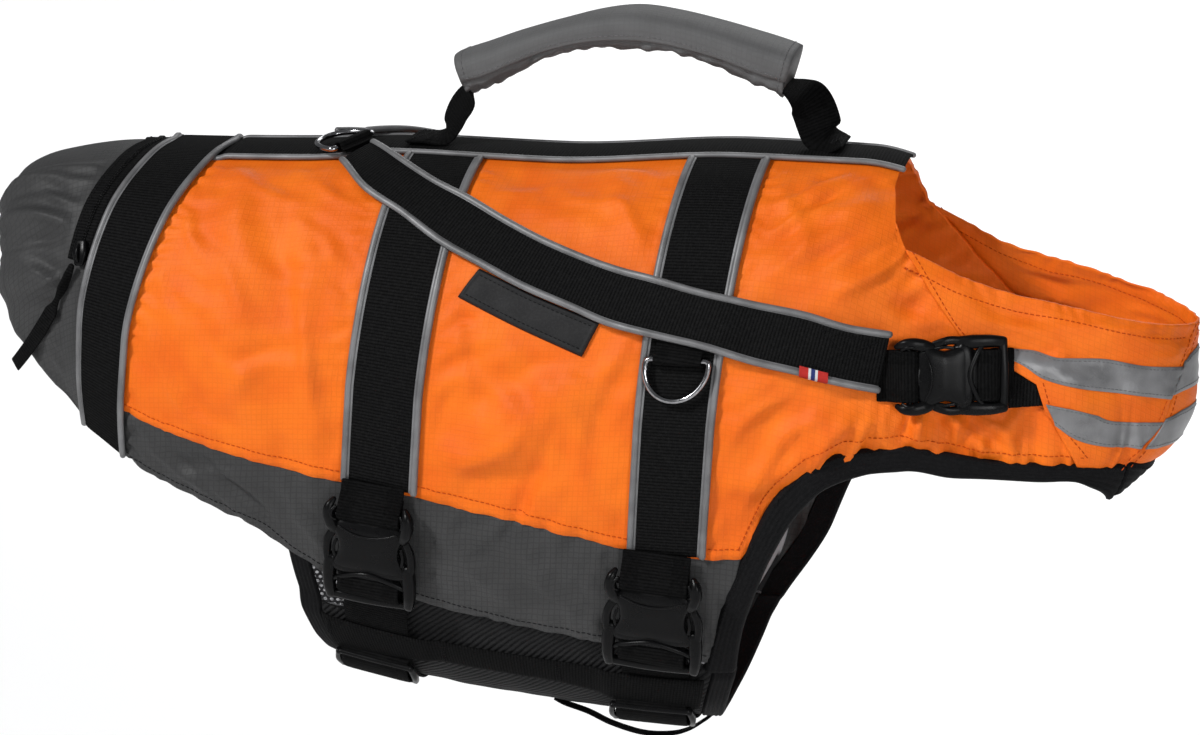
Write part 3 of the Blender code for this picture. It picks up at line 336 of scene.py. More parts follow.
def main_folds(run, ring):
    """The largest folds: height * exp(-(distance / spread)^2), faded at both ends of each."""
    height = np.zeros_like(run)
    for run_a, angle_a, run_b, angle_b, spread, rise in zip(*FOLDS.values()):
        size, t, past, beside = stretch((run_a, angle_a), (run_b, angle_b), run, ring)
        away = np.hypot(past * size, beside)
        height += rise * np.exp(-(away / spread) ** 2) * (0.35 + 0.65 * np.sin(np.pi * (0.15 + 0.7 * t)))
    return height


# The finer folds from one place to another, bowed sideways by bend.
CREASE_COLUMNS = ("run_a", "angle_a", "run_b", "angle_b", "bend", "spread", "height")
CREASES = columns(CREASE_COLUMNS, (
    # rear panel, falling forward from the rear band
    (-205, 38, -172, 66, 5, 3.6, 0.9), (-196, 52, -150, 78, -6, 4.2, 1.1), (-208, 66, -176, 92, 4, 3.4, 0.9),
    (-190, 78, -140, 92, 7, 4.0, 1.2), (-212, 84, -186, 100, 3, 3.0, 1.0), (-178, 24, -128, 40, 6, 4.5, 0.8),
    (-160, 96, -112, 88, -5, 4.0, 1.3), (-150, 60, -104, 66, 5, 4.6, 0.8), (-134, 44, -98, 62, -4, 3.6, 0.8),
    (-128, 30, -96, 38, 3, 3.4, 0.7), (-118, 74, -96, 98, 3, 3.4, 1.0), (-200, 96, -150, 103, 3, 2.8, 1.1),
    # between the mid and front bands
    (-30, 60, -8, 92, 4, 3.8, 1.0), (-22, 84, 30, 94, -6, 3.6, 1.3), (-28, 96, 20, 92, 5, 3.0, 1.3),
    (-24, 102, 44, 97, 6, 2.8, 1.2), (20, 80, 70, 100, -5, 3.8, 1.1), (34, 78, 74, 84, 4, 3.4, 0.9),
    (50, 92, 76, 106, 3, 3.0, 1.1), (-20, 42, 22, 52, 4, 4.2, 0.7), (10, 26, 60, 34, 5, 4.6, 0.8),
    (40, 30, 74, 50, -4, 4.0, 0.9), (-26, 30, 10, 24, 4, 4.0, 0.7), (30, 17, 72, 24, -3, 3.6, 0.8),
    # shoulder, above the strap
    (134, 34, 170, 20, 5, 4.0, 1.1), (134, 50, 178, 32, -6, 4.4, 1.3), (150, 58, 196, 40, 5, 4.0, 1.3),
    (180, 60, 214, 50, -4, 3.6, 1.1), (206, 62, 238, 62, 4, 3.4, 0.9), (140, 22, 158, 44, 3, 3.4, 0.9),
    # shoulder, below the strap and over the leg
    (134, 80, 158, 76, 3, 3.2, 1.2), (136, 90, 176, 82, -5, 3.6, 1.8), (138, 98, 180, 88, 6, 3.4, 2.1),
    (146, 102, 196, 84, -7, 3.2, 1.5), (172, 94, 204, 80, 4, 3.2, 2.2), (196, 92, 206, 80, 3, 3.0, 2.9),
    (209, 92, 214, 82, -2, 2.6, 2.2), (222, 92.5, 229, 83, 3, 2.8, 2.8), (236, 93, 226, 85, -3, 2.4, 2.2),
    (252, 94, 236, 84.5, 3, 3.0, 2.4), (270, 95, 246, 86, -3, 2.8, 2.2), (276, 95.5, 262, 89, 2, 2.4, 1.8),
    # rump
    (-330, 20, -262, 34, 6, 4.5, 1.3), (-322, 50, -268, 60, -6, 5.0, 1.5), (-316, 70, -262, 82, 6, 4.2, 1.4),
    (-306, 92, -262, 98, -4, 3.8, 1.4), (-300, 36, -258, 48, 5, 4.4, 1.0), (-296, 104, -262, 108, 3, 3.4, 1.2),
    (-310, 84, -276, 74, 4, 3.6, 1.1), (-326, 4, -240, 12, 5, 5.0, 1.2),
    # flanks
    (-210, 112, -150, 118, 4, 3.6, 1.1), (-190, 118, -130, 112, -4, 3.2, 1.0), (-120, 110, -96, 122, 3, 3.4, 1.1),
    (-30, 110, 30, 124, 6, 4.2, 1.1), (-34, 122, 10, 118, -4, 3.6, 1.0), (20, 112, 66, 126, 5, 4.0, 1.2),
    (0, 127, 60, 124, 4, 3.2, 0.9), (128, 114, 138, 130, 2, 3.0, 1.3), (124, 120, 134, 112, -2, 2.6, 1.0),
    # collar
    (250, 58, 330, 62, 4, 5.0, 0.9), (300, 60, 368, 66, -5, 4.6, 1.0), (318, 72, 366, 73, 3, 3.6, 0.7),
    (300, 92, 316, 97, 2, 2.6, 0.9), (342, 94, 352, 98, 2, 2.4, 0.9), (262, 62, 300, 70, -4, 4.2, 0.8),
))


def creases(run, ring, side):
    """Finer folds: a ridge beside a shallower trough along a bowed line, shared out by seeded changes.

    On the left they are the same ones moved and turned a little, as the jacket is sewn alike there.
    """
    rng = np.random.default_rng(5 if side < 0 else 9)
    wobble = waves(run, ring * DEGREE, 3, 46.0) * 1.6
    height = np.zeros_like(run)
    for *ends, bend, spread, rise in zip(*CREASES.values()):
        ends = np.array(ends) + rng.uniform(-1, 1, 4) * ((0, 0, 0, 0) if side < 0 else (6, 2.5, 6, 2.5))
        size, t, past, beside = stretch(ends[:2], ends[2:], run, ring)
        across = beside + bend * np.sin(np.pi * t) + wobble
        taper = np.sin(np.pi * (0.12 + 0.76 * t)) ** 1.2 * np.exp(-(past * size / (2.2 * spread)) ** 2)
        ridge = np.exp(-(across / spread) ** 2) - 0.6 * np.exp(-((across - 1.9 * spread) / (1.3 * spread)) ** 2)
        height += rise * ridge * taper
    return height


# A zone of the cloth, the way its fine wrinkles run (degrees below the run), their size and height.
WRINKLE_COLUMNS = ("run_a", "run_b", "angle_a", "angle_b", "turn", "size", "stretch", "height")
WRINKLES = columns(WRINKLE_COLUMNS, (
    (-225, -140, 10, 60, 38, 15, 3.2, 0.36), (-150, -85, 10, 60, 64, 15, 2.8, 0.4),
    (-250, -150, 55, 112, 40, 14, 3.6, 0.5), (-160, -85, 55, 112, 22, 15, 3.6, 0.55),
    (-42, 84, 10, 58, -24, 17, 3.4, 0.5), (-42, 20, 58, 116, -34, 16, 3.8, 1.2),
    (10, 84, 58, 116, -50, 16, 3.6, 1.1), (124, 225, 10, 72, -46, 15, 3.2, 1.1),
    (124, 175, 70, 116, -28, 14, 3.8, 1.35), (168, 300, 70, 102, -66, 12, 3.0, 0.95),
    (240, 400, 44, 76, 10, 20, 3.6, 0.6), (300, 400, 72, 104, -12, 16, 3.0, 0.4),
    (-350, -255, -4, 60, 8, 22, 3.0, 0.5), (-350, -240, 55, 124, -14, 20, 3.0, 0.55),
    (-260, -90, 104, 136, 14, 12, 3.4, 0.7), (-95, 60, 104, 140, -10, 13, 3.8, 0.7),
    (50, 160, 104, 142, -38, 11, 3.0, 0.8),
))


def within(x, low, high, soft):
    """1 between low and high and 0 outside them, over a soft edge half outside and half inside."""
    return smooth(x, low - soft, low + soft) * (1.0 - smooth(x, high - soft, high + soft))


def wrinkles(run, ring, side):
    """Fine wrinkles, drawn out one way in each zone: height * (0.6 w + 0.4 (1 - 2|w|)), w being waves."""
    height = np.zeros_like(run)
    for number, (run_a, run_b, angle_a, angle_b, turn, size, draw, rise) in enumerate(zip(*WRINKLES.values())):
        inside = within(run, run_a, run_b, 12.0) * within(ring, angle_a, angle_b, 6.0)
        c, s = np.cos(np.radians(turn)), np.sin(np.radians(turn))
        u, v = run * c + ring * DEGREE * s, ring * DEGREE * c - run * s
        v = v + 2.2 * waves(u, v, 70 + number, 70.0, 4)
        w = waves(u / draw, v, 90 + number + 40 * (side > 0), size, 5)
        height += rise * inside * (0.6 * w + 0.4 * (1.0 - 2.0 * np.abs(w)))
    return height * (0.75 + 0.5 * waves(run, ring * DEGREE, 88 + side, 80.0, 4))


def band_clear(run, ring, margin=10.0):
    """0 under the bands that are sewn on, 1 away from them."""
    start = 14.5 + 4.2 * (1.0 - smooth(run, -118.0, -92.0))
    clear = smooth(ring, start, start + 5.5)
    for low, high in ((-89.0, -37.0), (79.0, 129.0)):
        outside = np.maximum(low - run, run - high)
        clear = clear * smooth(outside, 0.0, margin)
    past = run - through_line(REAR_JOIN, ring)
    return clear * (smooth(past, 21.0, 21.0 + margin) + smooth(-past, 38.0, 38.0 + margin))


def seam_puckers(run, ring, side):
    """Short puckers that die out from the sewn lines: amount * exp(-distance / reach) * waves along it."""
    uneven = waves(run, ring * DEGREE, 17 + side, 30.0)
    height = np.zeros_like(run)
    sewn = (
        (shifted(REAR_JOIN, 21.5), 1.5, 7.0, 11.0), (((-90.5, 14), (-93.5, 104)), 1.1, 6.0, 11.0),
        (((-35, 14), (-39, 104)), 1.15, 6.5, 11.0), (((77.5, 14), (79.5, 109)), 1.1, 6.0, 11.0),
        (((130, 14), (131, 109)), 1.2, 7.0, 11.0), (GREY_SEAM, 0.6, 5.0, 15.0), (COLLAR_SEAM, 0.6, 6.0, 13.0),
        (LEG_EDGE[6:], 1.1, 9.0, 9.5), (LEG_EDGE[:7], 0.5, 6.0, 10.0), (NECK_EDGE + ((388, 63),), 0.5, 7.0, 11.0),
        (CHEST_SEAM, 0.4, 6.0, 11.0), (mirrored_chest(CHEST_SEAM), 0.4, 6.0, 11.0), (FLANK_EDGE, 0.4, 6.0, 14.0),
    )
    for line, amount, reach, length in sewn:
        away, travel = off_line(line, run, ring)
        height += amount * np.exp(-away / reach) * np.sin(2 * np.pi * travel / length + 2.2 * uneven)
    return height


def puff(run, ring):
    """The padding between the bands stands up softly: a product of half-sine humps."""
    height = np.zeros_like(run)
    for low, high, rise in ((-212.0, -90.0, 2.0), (-37.0, 79.0, 1.8), (130.0, 205.0, 1.2)):
        t = np.clip((run - low) / (high - low), 0.0, 1.0)
        height += rise * np.sin(np.pi * t) ** 0.8
    return height * smooth(ring, 15.0, 30.0) * (1.0 - smooth(ring, 92.0, 104.0))


def skin(run, angle, side):
    """Height of the cloth above the form: folds, creases, puckers and padding, flat under the bands."""
    ring = ring_angle(angle)
    clear = band_clear(run, ring)
    detail = 1.5 * main_folds(run, ring) + 1.8 * creases(run, ring, side) + puff(run, ring)
    detail = detail + 1.5 * wrinkles(run, ring, side)
    fine = 0.22 * waves(run, ring * DEGREE, 21, 15.0) + 0.3 * waves(run, ring * DEGREE, 22 + side, 38.0)
    under_patch = smooth(off_line(PATCH_MIDDLE, run, ring)[0], 9.0, 17.0) if side < 0 else 1.0
    pucker = seam_puckers(run, ring, side) * smooth(ring, 14.0, 18.0)
    under_strap = 0.45 + 0.55 * smooth(off_line(STRAP_MIDDLE, run, ring)[0], 20.0, 30.0)
    rear = 1.0 - 0.45 * (1.0 - smooth(run, -325.0, -290.0))
    return ((detail * under_patch * under_strap + fine) * clear + pucker * band_clear(run, ring, 2.0)) * rear


def collar_face(run, angle, side):
    """The collar lies over the side panel's front edge and opens in a slot for the strap's end."""
    ring = ring_angle(angle)
    past = run - through_line(COLLAR_SEAM, np.clip(ring, 44.0, 96.5))
    overlap = 1.9 * (1.0 - smooth(past, 15.0, 32.0)) * smooth(ring, 45.0, 52.0)
    across_slot = 1.0 - smooth(np.abs(ring - 79.5), 6.0, 12.0)
    slot = 3.0 * across_slot * (1.0 - smooth(past, 20.0, 46.0))
    return 1.1 + overlap + slot + skin(run, angle, side) * smooth(past, 4.0, 30.0) * 0.9


def belly_face(run, angle):
    """The belly panel tucks under the flanks and comes level with them below their edges."""
    return -BELLY_DEPTH * (1.0 - smooth(ring_angle(angle), 136.0, 141.5))


# ---------------------------------------------------------------- surfaces
def quad_grid(index):
    """Corner numbers of the quads between the rows and columns of a grid of numbers, as (quads, 4)."""
    return np.stack([index[:-1, :-1], index[:-1, 1:], index[1:, 1:], index[1:, :-1]], -1).reshape(-1, 4)


def outward(points, quads):
    """The quads, turned so that the closed surface's volume, the sum of a.(b x c)/6, is positive."""
    p = points[quads]
    volume = (p[:, 0] * np.cross(p[:, 1], p[:, 2])).sum() + (p[:, 0] * np.cross(p[:, 2], p[:, 3])).sum()
    return quads if volume > 0 else quads[:, ::-1]


def shell(outer, inner, uv):
    """A thin closed wall between two grids, with a rounded rim: its edge is pushed out by a share of the wall."""
    rows, cols = outer.shape[:2]
    index = np.arange(rows * cols).reshape(rows, cols)
    rim = np.concatenate([index[0, :], index[1:, -1], index[-1, -2::-1], index[-2:0:-1, 0]])
    inside = np.clip(np.stack(np.divmod(rim, cols), -1), 1, (rows - 2, cols - 2)) @ (cols, 1)
    top, low = outer.reshape(-1, 3), inner.reshape(-1, 3)
    middle = (top[rim] + low[rim]) / 2.0
    push = middle - (top[inside] + low[inside]) / 2.0
    wall = top[rim] - low[rim]
    thick = np.linalg.norm(wall, axis=1, keepdims=True)
    through_wall = wall / (thick + TINY)
    push -= through_wall * (push * through_wall).sum(1, keepdims=True)
    push /= np.linalg.norm(push, axis=1, keepdims=True) + TINY
    points = np.concatenate([top, low, middle + push * thick * RIM_SHARE])
    ring = 2 * len(top) + np.arange(len(rim))
    after, ring_after = np.roll(rim, -1), np.roll(ring, -1)
    faces = quad_grid(index)
    quads = np.concatenate([faces, faces[:, ::-1] + len(top), np.stack([after, rim, ring, ring_after], -1),
                            np.stack([ring_after, ring, rim + len(top), after + len(top)], -1)])
    flat = uv.reshape(-1, 2)
    return points, outward(points, quads), np.concatenate([flat, flat, flat[rim]])


def loft(sections, uv=None, closed=False):
    """A tube through sections (stations, points, xyz); its flat ends are closed by strips of quads."""
    count, size = sections.shape[:2]
    rows = np.arange(count * size).reshape(count, size)
    rows = np.concatenate([rows, rows[:1]]) if closed else rows
    quads = quad_grid(np.concatenate([rows, rows[:, :1]], 1))
    if not closed:
        i = np.arange(size // 2 - 1)
        cap = np.stack([i, i + 1, size - 2 - i, size - 1 - i], -1)
        quads = np.concatenate([quads, cap[:, ::-1], cap + (count - 1) * size])
    points = sections.reshape(-1, 3)
    if uv is None:
        length = travelled(sections.mean(1))
        uv = np.stack(np.broadcast_arrays(np.linspace(0.0, 1.0, size)[None, :], length[:, None] * MM), -1)
    return points, outward(points, quads), uv.reshape(-1, 2)


def sweep(path, across, wide, high, power=1.0, sides=16, closed=False):
    """A superellipse carried along a path: x = w sgn(cos)|cos|^p across, y = h sgn(sin)|sin|^p up.

    Rounded ends come from three more sections that shrink as a quarter circle.
    """
    path = np.asarray(path, float)
    wide, high = [np.broadcast_to(np.asarray(size, float), len(path)) for size in (wide, high)]
    across = np.broadcast_to(np.asarray(across, float), path.shape)
    tangent = unit(np.roll(path, -1, 0) - np.roll(path, 1, 0) if closed else np.gradient(path, axis=0))
    if not closed:
        turns = np.radians((80.0, 55.0, 30.0))
        for end, way, angles in ((0, -1, turns), (-1, 1, turns[::-1])):
            cap = min(wide[end], high[end])
            less = cap * (1 - np.cos(angles))
            tip = path[end] + way * tangent[end] * cap * np.sin(angles)[:, None]
            rows = ((path, tip), (wide, wide[end] - less), (high, high[end] - less),
                    (across, across[[end] * 3]), (tangent, tangent[[end] * 3]))
            path, wide, high, across, tangent = [np.concatenate(pair[::way]) for pair in rows]
    across = unit(across - tangent * (across * tangent).sum(1, keepdims=True))
    up = np.cross(tangent, across)
    x, y = superellipse(np.radians(np.arange(sides) * 360.0 / sides + 180.0 / sides), power)
    sections = (path[:, None] + across[:, None] * (wide[:, None] * x)[..., None]
                + up[:, None] * (high[:, None] * y)[..., None])
    return loft(sections, closed=closed)


def curve(points, count, closed=False):
    """Points evenly along a smooth curve through the given ones (Catmull-Rom)."""
    p = np.asarray(points, float)
    before, after = (p[-1:], p[:2]) if closed else (2 * p[:1] - p[1:2], 2 * p[-1:] - p[-2:-1])
    p = np.concatenate([before, p, after])
    t = np.linspace(0.0, 1.0, 24, endpoint=False)[:, None]
    dense = [0.5 * (2 * b + (c - a) * t + (2 * a - 5 * b + 4 * c - d) * t ** 2 + (3 * b - a - 3 * c + d) * t ** 3)
             for a, b, c, d in zip(p[:-3], p[1:-2], p[2:-1], p[3:])]
    dense = np.concatenate(dense + [p[-2:-1]])
    length = travelled(dense)
    at = np.linspace(0.0, length[-1], count + 1 if closed else count)
    even = at_distance(at, length, dense)
    return even[:-1] if closed else even


# A stitch: a square thread with thin ends, as points (along, across, up) and the quads between them.
THREAD = np.array([(x, r * y, r * z) for x, r in ((-0.5, 0.35), (-0.3, 1.0), (0.3, 1.0), (0.5, 0.35))
                   for y, z in ((1, 0), (0, 1), (-1, 0), (0, -1))], float)
THREAD_QUADS = np.array([(4 * s + i, 4 * s + (i + 1) % 4, 4 * s + 4 + (i + 1) % 4, 4 * s + 4 + i)
                         for s in range(3) for i in range(4)] + [(3, 2, 1, 0), (12, 13, 14, 15)])


def stitches(path, normal, pitch=3.2, length=2.3, radius=0.32, zigzag=0.0):
    """Single stitches along a path: each is a short thread with thin ends, laid on the cloth."""
    path, normal = np.asarray(path, float), np.asarray(normal, float)
    travel = travelled(path)
    count = max(1, int(travel[-1] / pitch))
    middle = (np.arange(count) + 0.5) * travel[-1] / count
    centre, up = at_distance(middle, travel, path), unit(at_distance(middle, travel, normal))
    ahead = at_distance(middle + 0.4 * length, travel, path) - at_distance(middle - 0.4 * length, travel, path)
    ahead /= np.linalg.norm(ahead, axis=1, keepdims=True) + TINY
    wide = np.cross(up, ahead)
    if zigzag:
        lean = np.where(np.arange(count) % 2 == 0, zigzag, -zigzag)[:, None]
        ahead = ahead * np.cos(lean) + wide * np.sin(lean)
        wide = np.cross(up, ahead)
    points = (centre[:, None] + ahead[:, None] * (THREAD[:, :1] * length)
              + wide[:, None] * (THREAD[:, 1:2] * radius) + up[:, None] * (THREAD[:, 2:] * radius)).reshape(-1, 3)
    quads = (THREAD_QUADS[None] + (np.arange(count) * len(THREAD))[:, None, None]).reshape(-1, 4)
    return points, outward(points, quads), np.zeros((len(points), 2))


def add(name, parts, finish, stands_for=(), owner="jacket"):
    """One object from parts (points in mm, quads, uv in metres), shaded smooth, riding on its body.

    Its one material is the finish.
    """
    parts = parts if isinstance(parts, list) else [parts]
    starts = np.cumsum([0] + [len(points) for points, _, _ in parts])
    points, quads, uv = [np.concatenate(values) for values in zip(
        *[(part[0], part[1] + start, part[2]) for part, start in zip(parts, starts)])]
    data = bpy.data.meshes.new(name)
    data.vertices.add(len(points))
    data.vertices.foreach_set("co", (points * MM).astype(np.float32).ravel())
    data.loops.add(quads.size)
    data.loops.foreach_set("vertex_index", quads.astype(np.int32).ravel())
    data.polygons.add(len(quads))
    data.polygons.foreach_set("loop_start", np.arange(0, quads.size, 4, dtype=np.int32))
    data.update(calc_edges=True)
    layer = data.uv_layers.new(name="UVMap")
    layer.data.foreach_set("uv", uv[quads.ravel()].astype(np.float32).ravel())
    data.shade_smooth()
    data.validate()
    data.materials.append(finish)
    made = bpy.data.objects.new(name, data)
    bpy.context.scene.collection.objects.link(made)
    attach(made, owner)
    if stands_for:
        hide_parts(*stands_for)
    return made


# ---------------------------------------------------------------- materials
def tint(colour, share=1.0, more=0.0):
    """A colour with alpha: colour * share + more, at most 1."""
    return (*[min(1.0, part * share + more) for part in colour], 1.0)


def grey(level, blue=None):
    """A grey with alpha whose blue may be a little stronger."""
    return (level, level, level if blue is None else blue, 1.0)


class Net:
    """Short calls for a node tree: a number sets a socket, and a socket is linked to it."""

    def __init__(self, tree):
        self.tree = tree

    def put(self, socket, value):
        if isinstance(value, bpy.types.NodeSocket):
            self.tree.links.new(value, socket)
        elif value is not None:
            socket.default_value = value

    def node(self, kind, *values, **settings):
        made = self.tree.nodes.new("ShaderNode" + kind)
        for key, value in settings.items():
            setattr(made, key, value)
        for socket, value in zip(made.inputs, values):
            self.put(socket, value)
        return made

    def math(self, operation, *values):
        return self.node("Math", *values, operation=operation).outputs[0]

    def plus(self, a, b, share):
        """a + share * b."""
        return self.math("ADD", a, self.math("MULTIPLY", b, share))

    def sine(self, place_, turn, size):
        """sin(place * turn / size)."""
        return self.math("SINE", self.math("MULTIPLY", place_, self.math("DIVIDE", turn, size)))

    def ramp(self, value, low, high, start=0.0, stop=1.0):
        """start where the value is low, stop where it is high."""
        return self.node("MapRange", value, low, high, start, stop).outputs[0]

    def mix(self, factor, a, b, most=None):
        """From a to b by the factor, which may be held down to at most a share."""
        made = self.node("Mix", data_type="RGBA", blend_type="MIX")
        factor = factor if most is None else self.math("MULTIPLY", factor, most)
        for number, value in ((0, factor), (6, a), (7, b)):
            self.put(made.inputs[number], value)
        return made.outputs[2]

    def noise(self, vector, scale, detail=2.0, roughness=0.5, distortion=0.0):
        made = self.node("TexNoise", vector, None, scale, detail, roughness)
        made.inputs["Distortion"].default_value = distortion
        return made.outputs[0]


def build_ripstop(net, vector, pitch, weave):
    """Thicker threads every pitch both ways, and the plain weave between them as a product of sines."""
    axes = net.node("SeparateXYZ", vector).outputs[:2]
    cells = [net.math("FRACT", net.math("DIVIDE", axis, pitch)) for axis in axes]
    near = [net.math("ABSOLUTE", net.math("SUBTRACT", cell, 0.5)) for cell in cells]
    grid = net.math("MAXIMUM", *[net.ramp(value, 0.36, 0.47) for value in near])
    plain = net.math("MULTIPLY", *[net.sine(axis, 6.2832, weave) for axis in axes])
    return grid, net.plus(net.math("MULTIPLY", grid, 0.8), plain, 0.35)


def build_crumple(net, vector, size):
    """Soft crumples: two noises, the finer one folded at its middle so that it makes ridges."""
    scale = net.math("DIVIDE", 1.0, size)
    broad = net.noise(vector, scale)
    fine = net.noise(vector, net.math("MULTIPLY", scale, 2.7), 3.0, distortion=0.8)
    folded = net.math("ABSOLUTE", net.math("SUBTRACT", fine, 0.5))
    ridge = net.math("SUBTRACT", 1.0, net.math("MULTIPLY", folded, 5.0))
    # The broad noise is also the low part of the height: the ripstops and the reflective cloth paint shade in the
    # hollows and light on the crests from it.
    return broad, net.plus(broad, ridge, 0.22)


def build_ribs(net, vector, pitch, warp):
    """Raised ribs across the webbing, |sin| of the distance along it, with its finer warp across them."""
    x, y = net.node("SeparateXYZ", vector).outputs[:2]
    rib = net.math("ABSOLUTE", net.sine(y, 3.14159, pitch))
    return rib, net.plus(rib, net.sine(x, 6.2832, warp), 0.25)


def build_lint(net, vector, size):
    """Fine uneven specks, for dust on cloth and scuffs on plastic."""
    noise = net.noise(vector, net.math("DIVIDE", 1.0, size), 6.0, 0.7)
    return noise, net.ramp(noise, 0.45, 0.62)


# Each shader group's name, its sizes with their defaults, its outputs and what builds it.
PATTERNS = {
    "ripstop": ("Ripstop weave", (("Grid pitch", 0.0027), ("Weave pitch", 0.0006)), ("Grid", "Height"),
                build_ripstop),
    "crumple": ("Soft crumple", (("Size", 0.03),), ("Tone", "Height"), build_crumple),
    "ribs": ("Webbing ribs", (("Rib pitch", 0.0012), ("Warp pitch", 0.0011)), ("Ribs", "Height"), build_ribs),
    "lint": ("Fine specks", (("Size", 0.002),), ("Noise", "Specks"), build_lint),
}


def pattern_group(name):
    """The shader group of a pattern, with a vector and its sizes as inputs and floats as outputs, built once."""
    title, sizes, outputs, build = PATTERNS[name]
    found = bpy.data.node_groups.get(title)
    if found:
        return found
    tree = bpy.data.node_groups.new(title, "ShaderNodeTree")
    tree.interface.new_socket(name="Vector", in_out="INPUT", socket_type="NodeSocketVector")
    for label, value in sizes:
        tree.interface.new_socket(name=label, in_out="INPUT", socket_type="NodeSocketFloat").default_value = value
    for label in outputs:
        tree.interface.new_socket(name=label, in_out="OUTPUT", socket_type="NodeSocketFloat")
    start, end = tree.nodes.new("NodeGroupInput"), tree.nodes.new("NodeGroupOutput")
    values = build(Net(tree), *[start.outputs[label] for label in ("Vector", *[label for label, _ in sizes])])
    for label, value in zip(outputs, values):
        tree.links.new(value, end.inputs[label])
    return tree


class Finish(Net):
    """A material with plain shader values, and the flat (UV) and solid (object) places its patterns read."""

    def __init__(self, name, colour, roughness, specular=0.5, metallic=0.0):
        self.made = bpy.data.materials.new(name)
        self.made.use_nodes = True
        self.made.diffuse_color = tint(colour)
        super().__init__(self.made.node_tree)
        self.shader = self.tree.nodes["Principled BSDF"]
        for key, value in (("Base Color", tint(colour)), ("Roughness", roughness), ("Metallic", metallic),
                           ("Specular IOR Level", specular)):
            self.shader.inputs[key].default_value = value
        coords = self.node("TexCoord")
        self.flat, self.solid = coords.outputs["UV"], coords.outputs["Object"]
        self.slope = None

    def pattern(self, name, vector, *sizes):
        """Both outputs of a pattern's group."""
        made = self.tree.nodes.new("ShaderNodeGroup")
        made.node_tree = pattern_group(name)
        for socket, value in zip(made.inputs, (vector, *sizes)):
            self.put(socket, value)
        return made.outputs

    def coat(self, colour, wear=None, least=0.0, most=1.0):
        """The colour, and a roughness from least to most where a noise is given."""
        self.put(self.shader.inputs["Base Color"], colour)
        if wear is not None:
            self.put(self.shader.inputs["Roughness"], self.ramp(wear, 0.3, 0.7, least, most))

    def bump(self, height, strength, distance):
        """A bump on top of those made before."""
        made = self.node("Bump", strength, distance)
        self.put(made.inputs["Height"], height)
        self.put(made.inputs["Normal"], self.slope)
        self.slope = made.outputs[0]
        self.put(self.shader.inputs["Normal"], self.slope)


def ripstop(name, colour, hollow_shade, grid_pitch, roughness, crumple, lines=0.15):
    """Ripstop nylon: its grid slightly darker, painted shade in the hollows of the soft crumples, and a satin sheen.
    """
    net = Finish(name, colour, roughness, 0.16)
    grid, weave = net.pattern("ripstop", net.flat, grid_pitch, 0.0007)
    tone, folded = net.pattern("crumple", net.solid, crumple)
    noise, specks = net.pattern("lint", net.solid, 0.0011)
    # Painted shade: up to 55% of the way to the darker shade colour where the broad crumple noise, the low part of
    # the bump's height, is low.
    shade = net.mix(net.ramp(tone, 0.66, 0.34), tint(colour), tint(hollow_shade), 0.55)
    lined = net.mix(grid, shade, tint(colour, 0.55), lines)
    net.coat(net.mix(specks, lined, tint(colour, 1.3, 0.02), 0.06), noise, roughness - 0.06, roughness + 0.08)
    net.bump(folded, 0.16, 0.0024)
    net.bump(weave, 0.35, 0.00022)


def webbing(name, colour, rib_pitch, light=0.003):
    """Nylon webbing with ribs across it, painted lighter on the rib crests and darker between them, and sparse lint.
    """
    net = Finish(name, colour, 0.75, 0.03)
    ribs, height = net.pattern("ribs", net.flat, rib_pitch, 0.0014)
    noise, specks = net.pattern("lint", net.solid, 0.0016)
    # Painted light and shade: from 0.3 of the colour between the ribs towards the colour plus light on their crests,
    # mixed in by 0.7.
    painted_rib_light = net.mix(ribs, tint(colour, 0.3), tint(colour, 1.0, light), 0.7)
    net.coat(net.mix(specks, painted_rib_light, grey(light + 0.03), 0.1), noise, 0.66, 0.86)
    net.bump(height, 0.6, 0.0004)


def elastic(name):
    """Ribbed elastic: the ribs are in the form, so here are the fine picks across, painted lighter on their crests,
    and the tone.
    """
    net = Finish(name, (0.004, 0.004, 0.0045), 0.7, 0.07)
    ribs, height = net.pattern("ribs", net.flat, 0.0009, 0.0011)
    specks = net.pattern("lint", net.solid, 0.0014)[1]
    # Painted light and shade: darker between the fine picks and lighter on their crests.
    tone = net.mix(ribs, grey(0.002, 0.0024), grey(0.007, 0.0075), 0.5)
    net.coat(net.mix(specks, tone, grey(0.025, 0.026), 0.15))
    net.bump(height, 0.5, 0.00025)


def reflective(name, colour, roughness):
    """Grey reflective cloth: fine glass beads as specks, and painted light and shade over soft crumples, lighter on
    their crests and darker in their hollows.
    """
    net = Finish(name, colour, roughness, 0.5, 0.25)
    noise, specks = net.pattern("lint", net.solid, 0.0006)
    tone, folded = net.pattern("crumple", net.solid, 0.016)
    # Painted light and shade: 0.72 of the colour where the broad crumple noise, the low part of the bump's height, is
    # low, and 1.18 of it where it is high.
    painted_crumple_light = net.mix(net.ramp(tone, 0.35, 0.65), tint(colour, 0.72), tint(colour, 1.18))
    net.coat(net.mix(specks, painted_crumple_light, tint(colour, 1.4), 0.25), noise, roughness - 0.08, roughness + 0.08)
    net.bump(folded, 0.25, 0.001)
    net.bump(noise, 0.15, 0.0001)


def speckled(name, colour, roughness, specular, grain, tones, dents=None, wear=None, patches=None, metallic=0.0):
    """Fine specks between two tones, for thread, rubber, plastic and metal.

    dents are the bump's strength and depth; wear is the roughness's range, over soft patches if given.
    """
    net = Finish(name, colour, roughness, specular, metallic)
    noise, specks = net.pattern("lint", net.solid, grain)
    patchy = net.pattern("crumple", net.solid, patches)[0] if patches else noise
    net.coat(net.mix(specks, *tones), patchy if wear else None, *(wear or ()))
    if dents:
        net.bump(noise, *dents)


def thread(name, colour):
    """Sewing thread, a little uneven in tone."""
    speckled(name, colour, 0.65, 0.1, 0.0008, (tint(colour, 0.8), tint(colour, 1.15)))


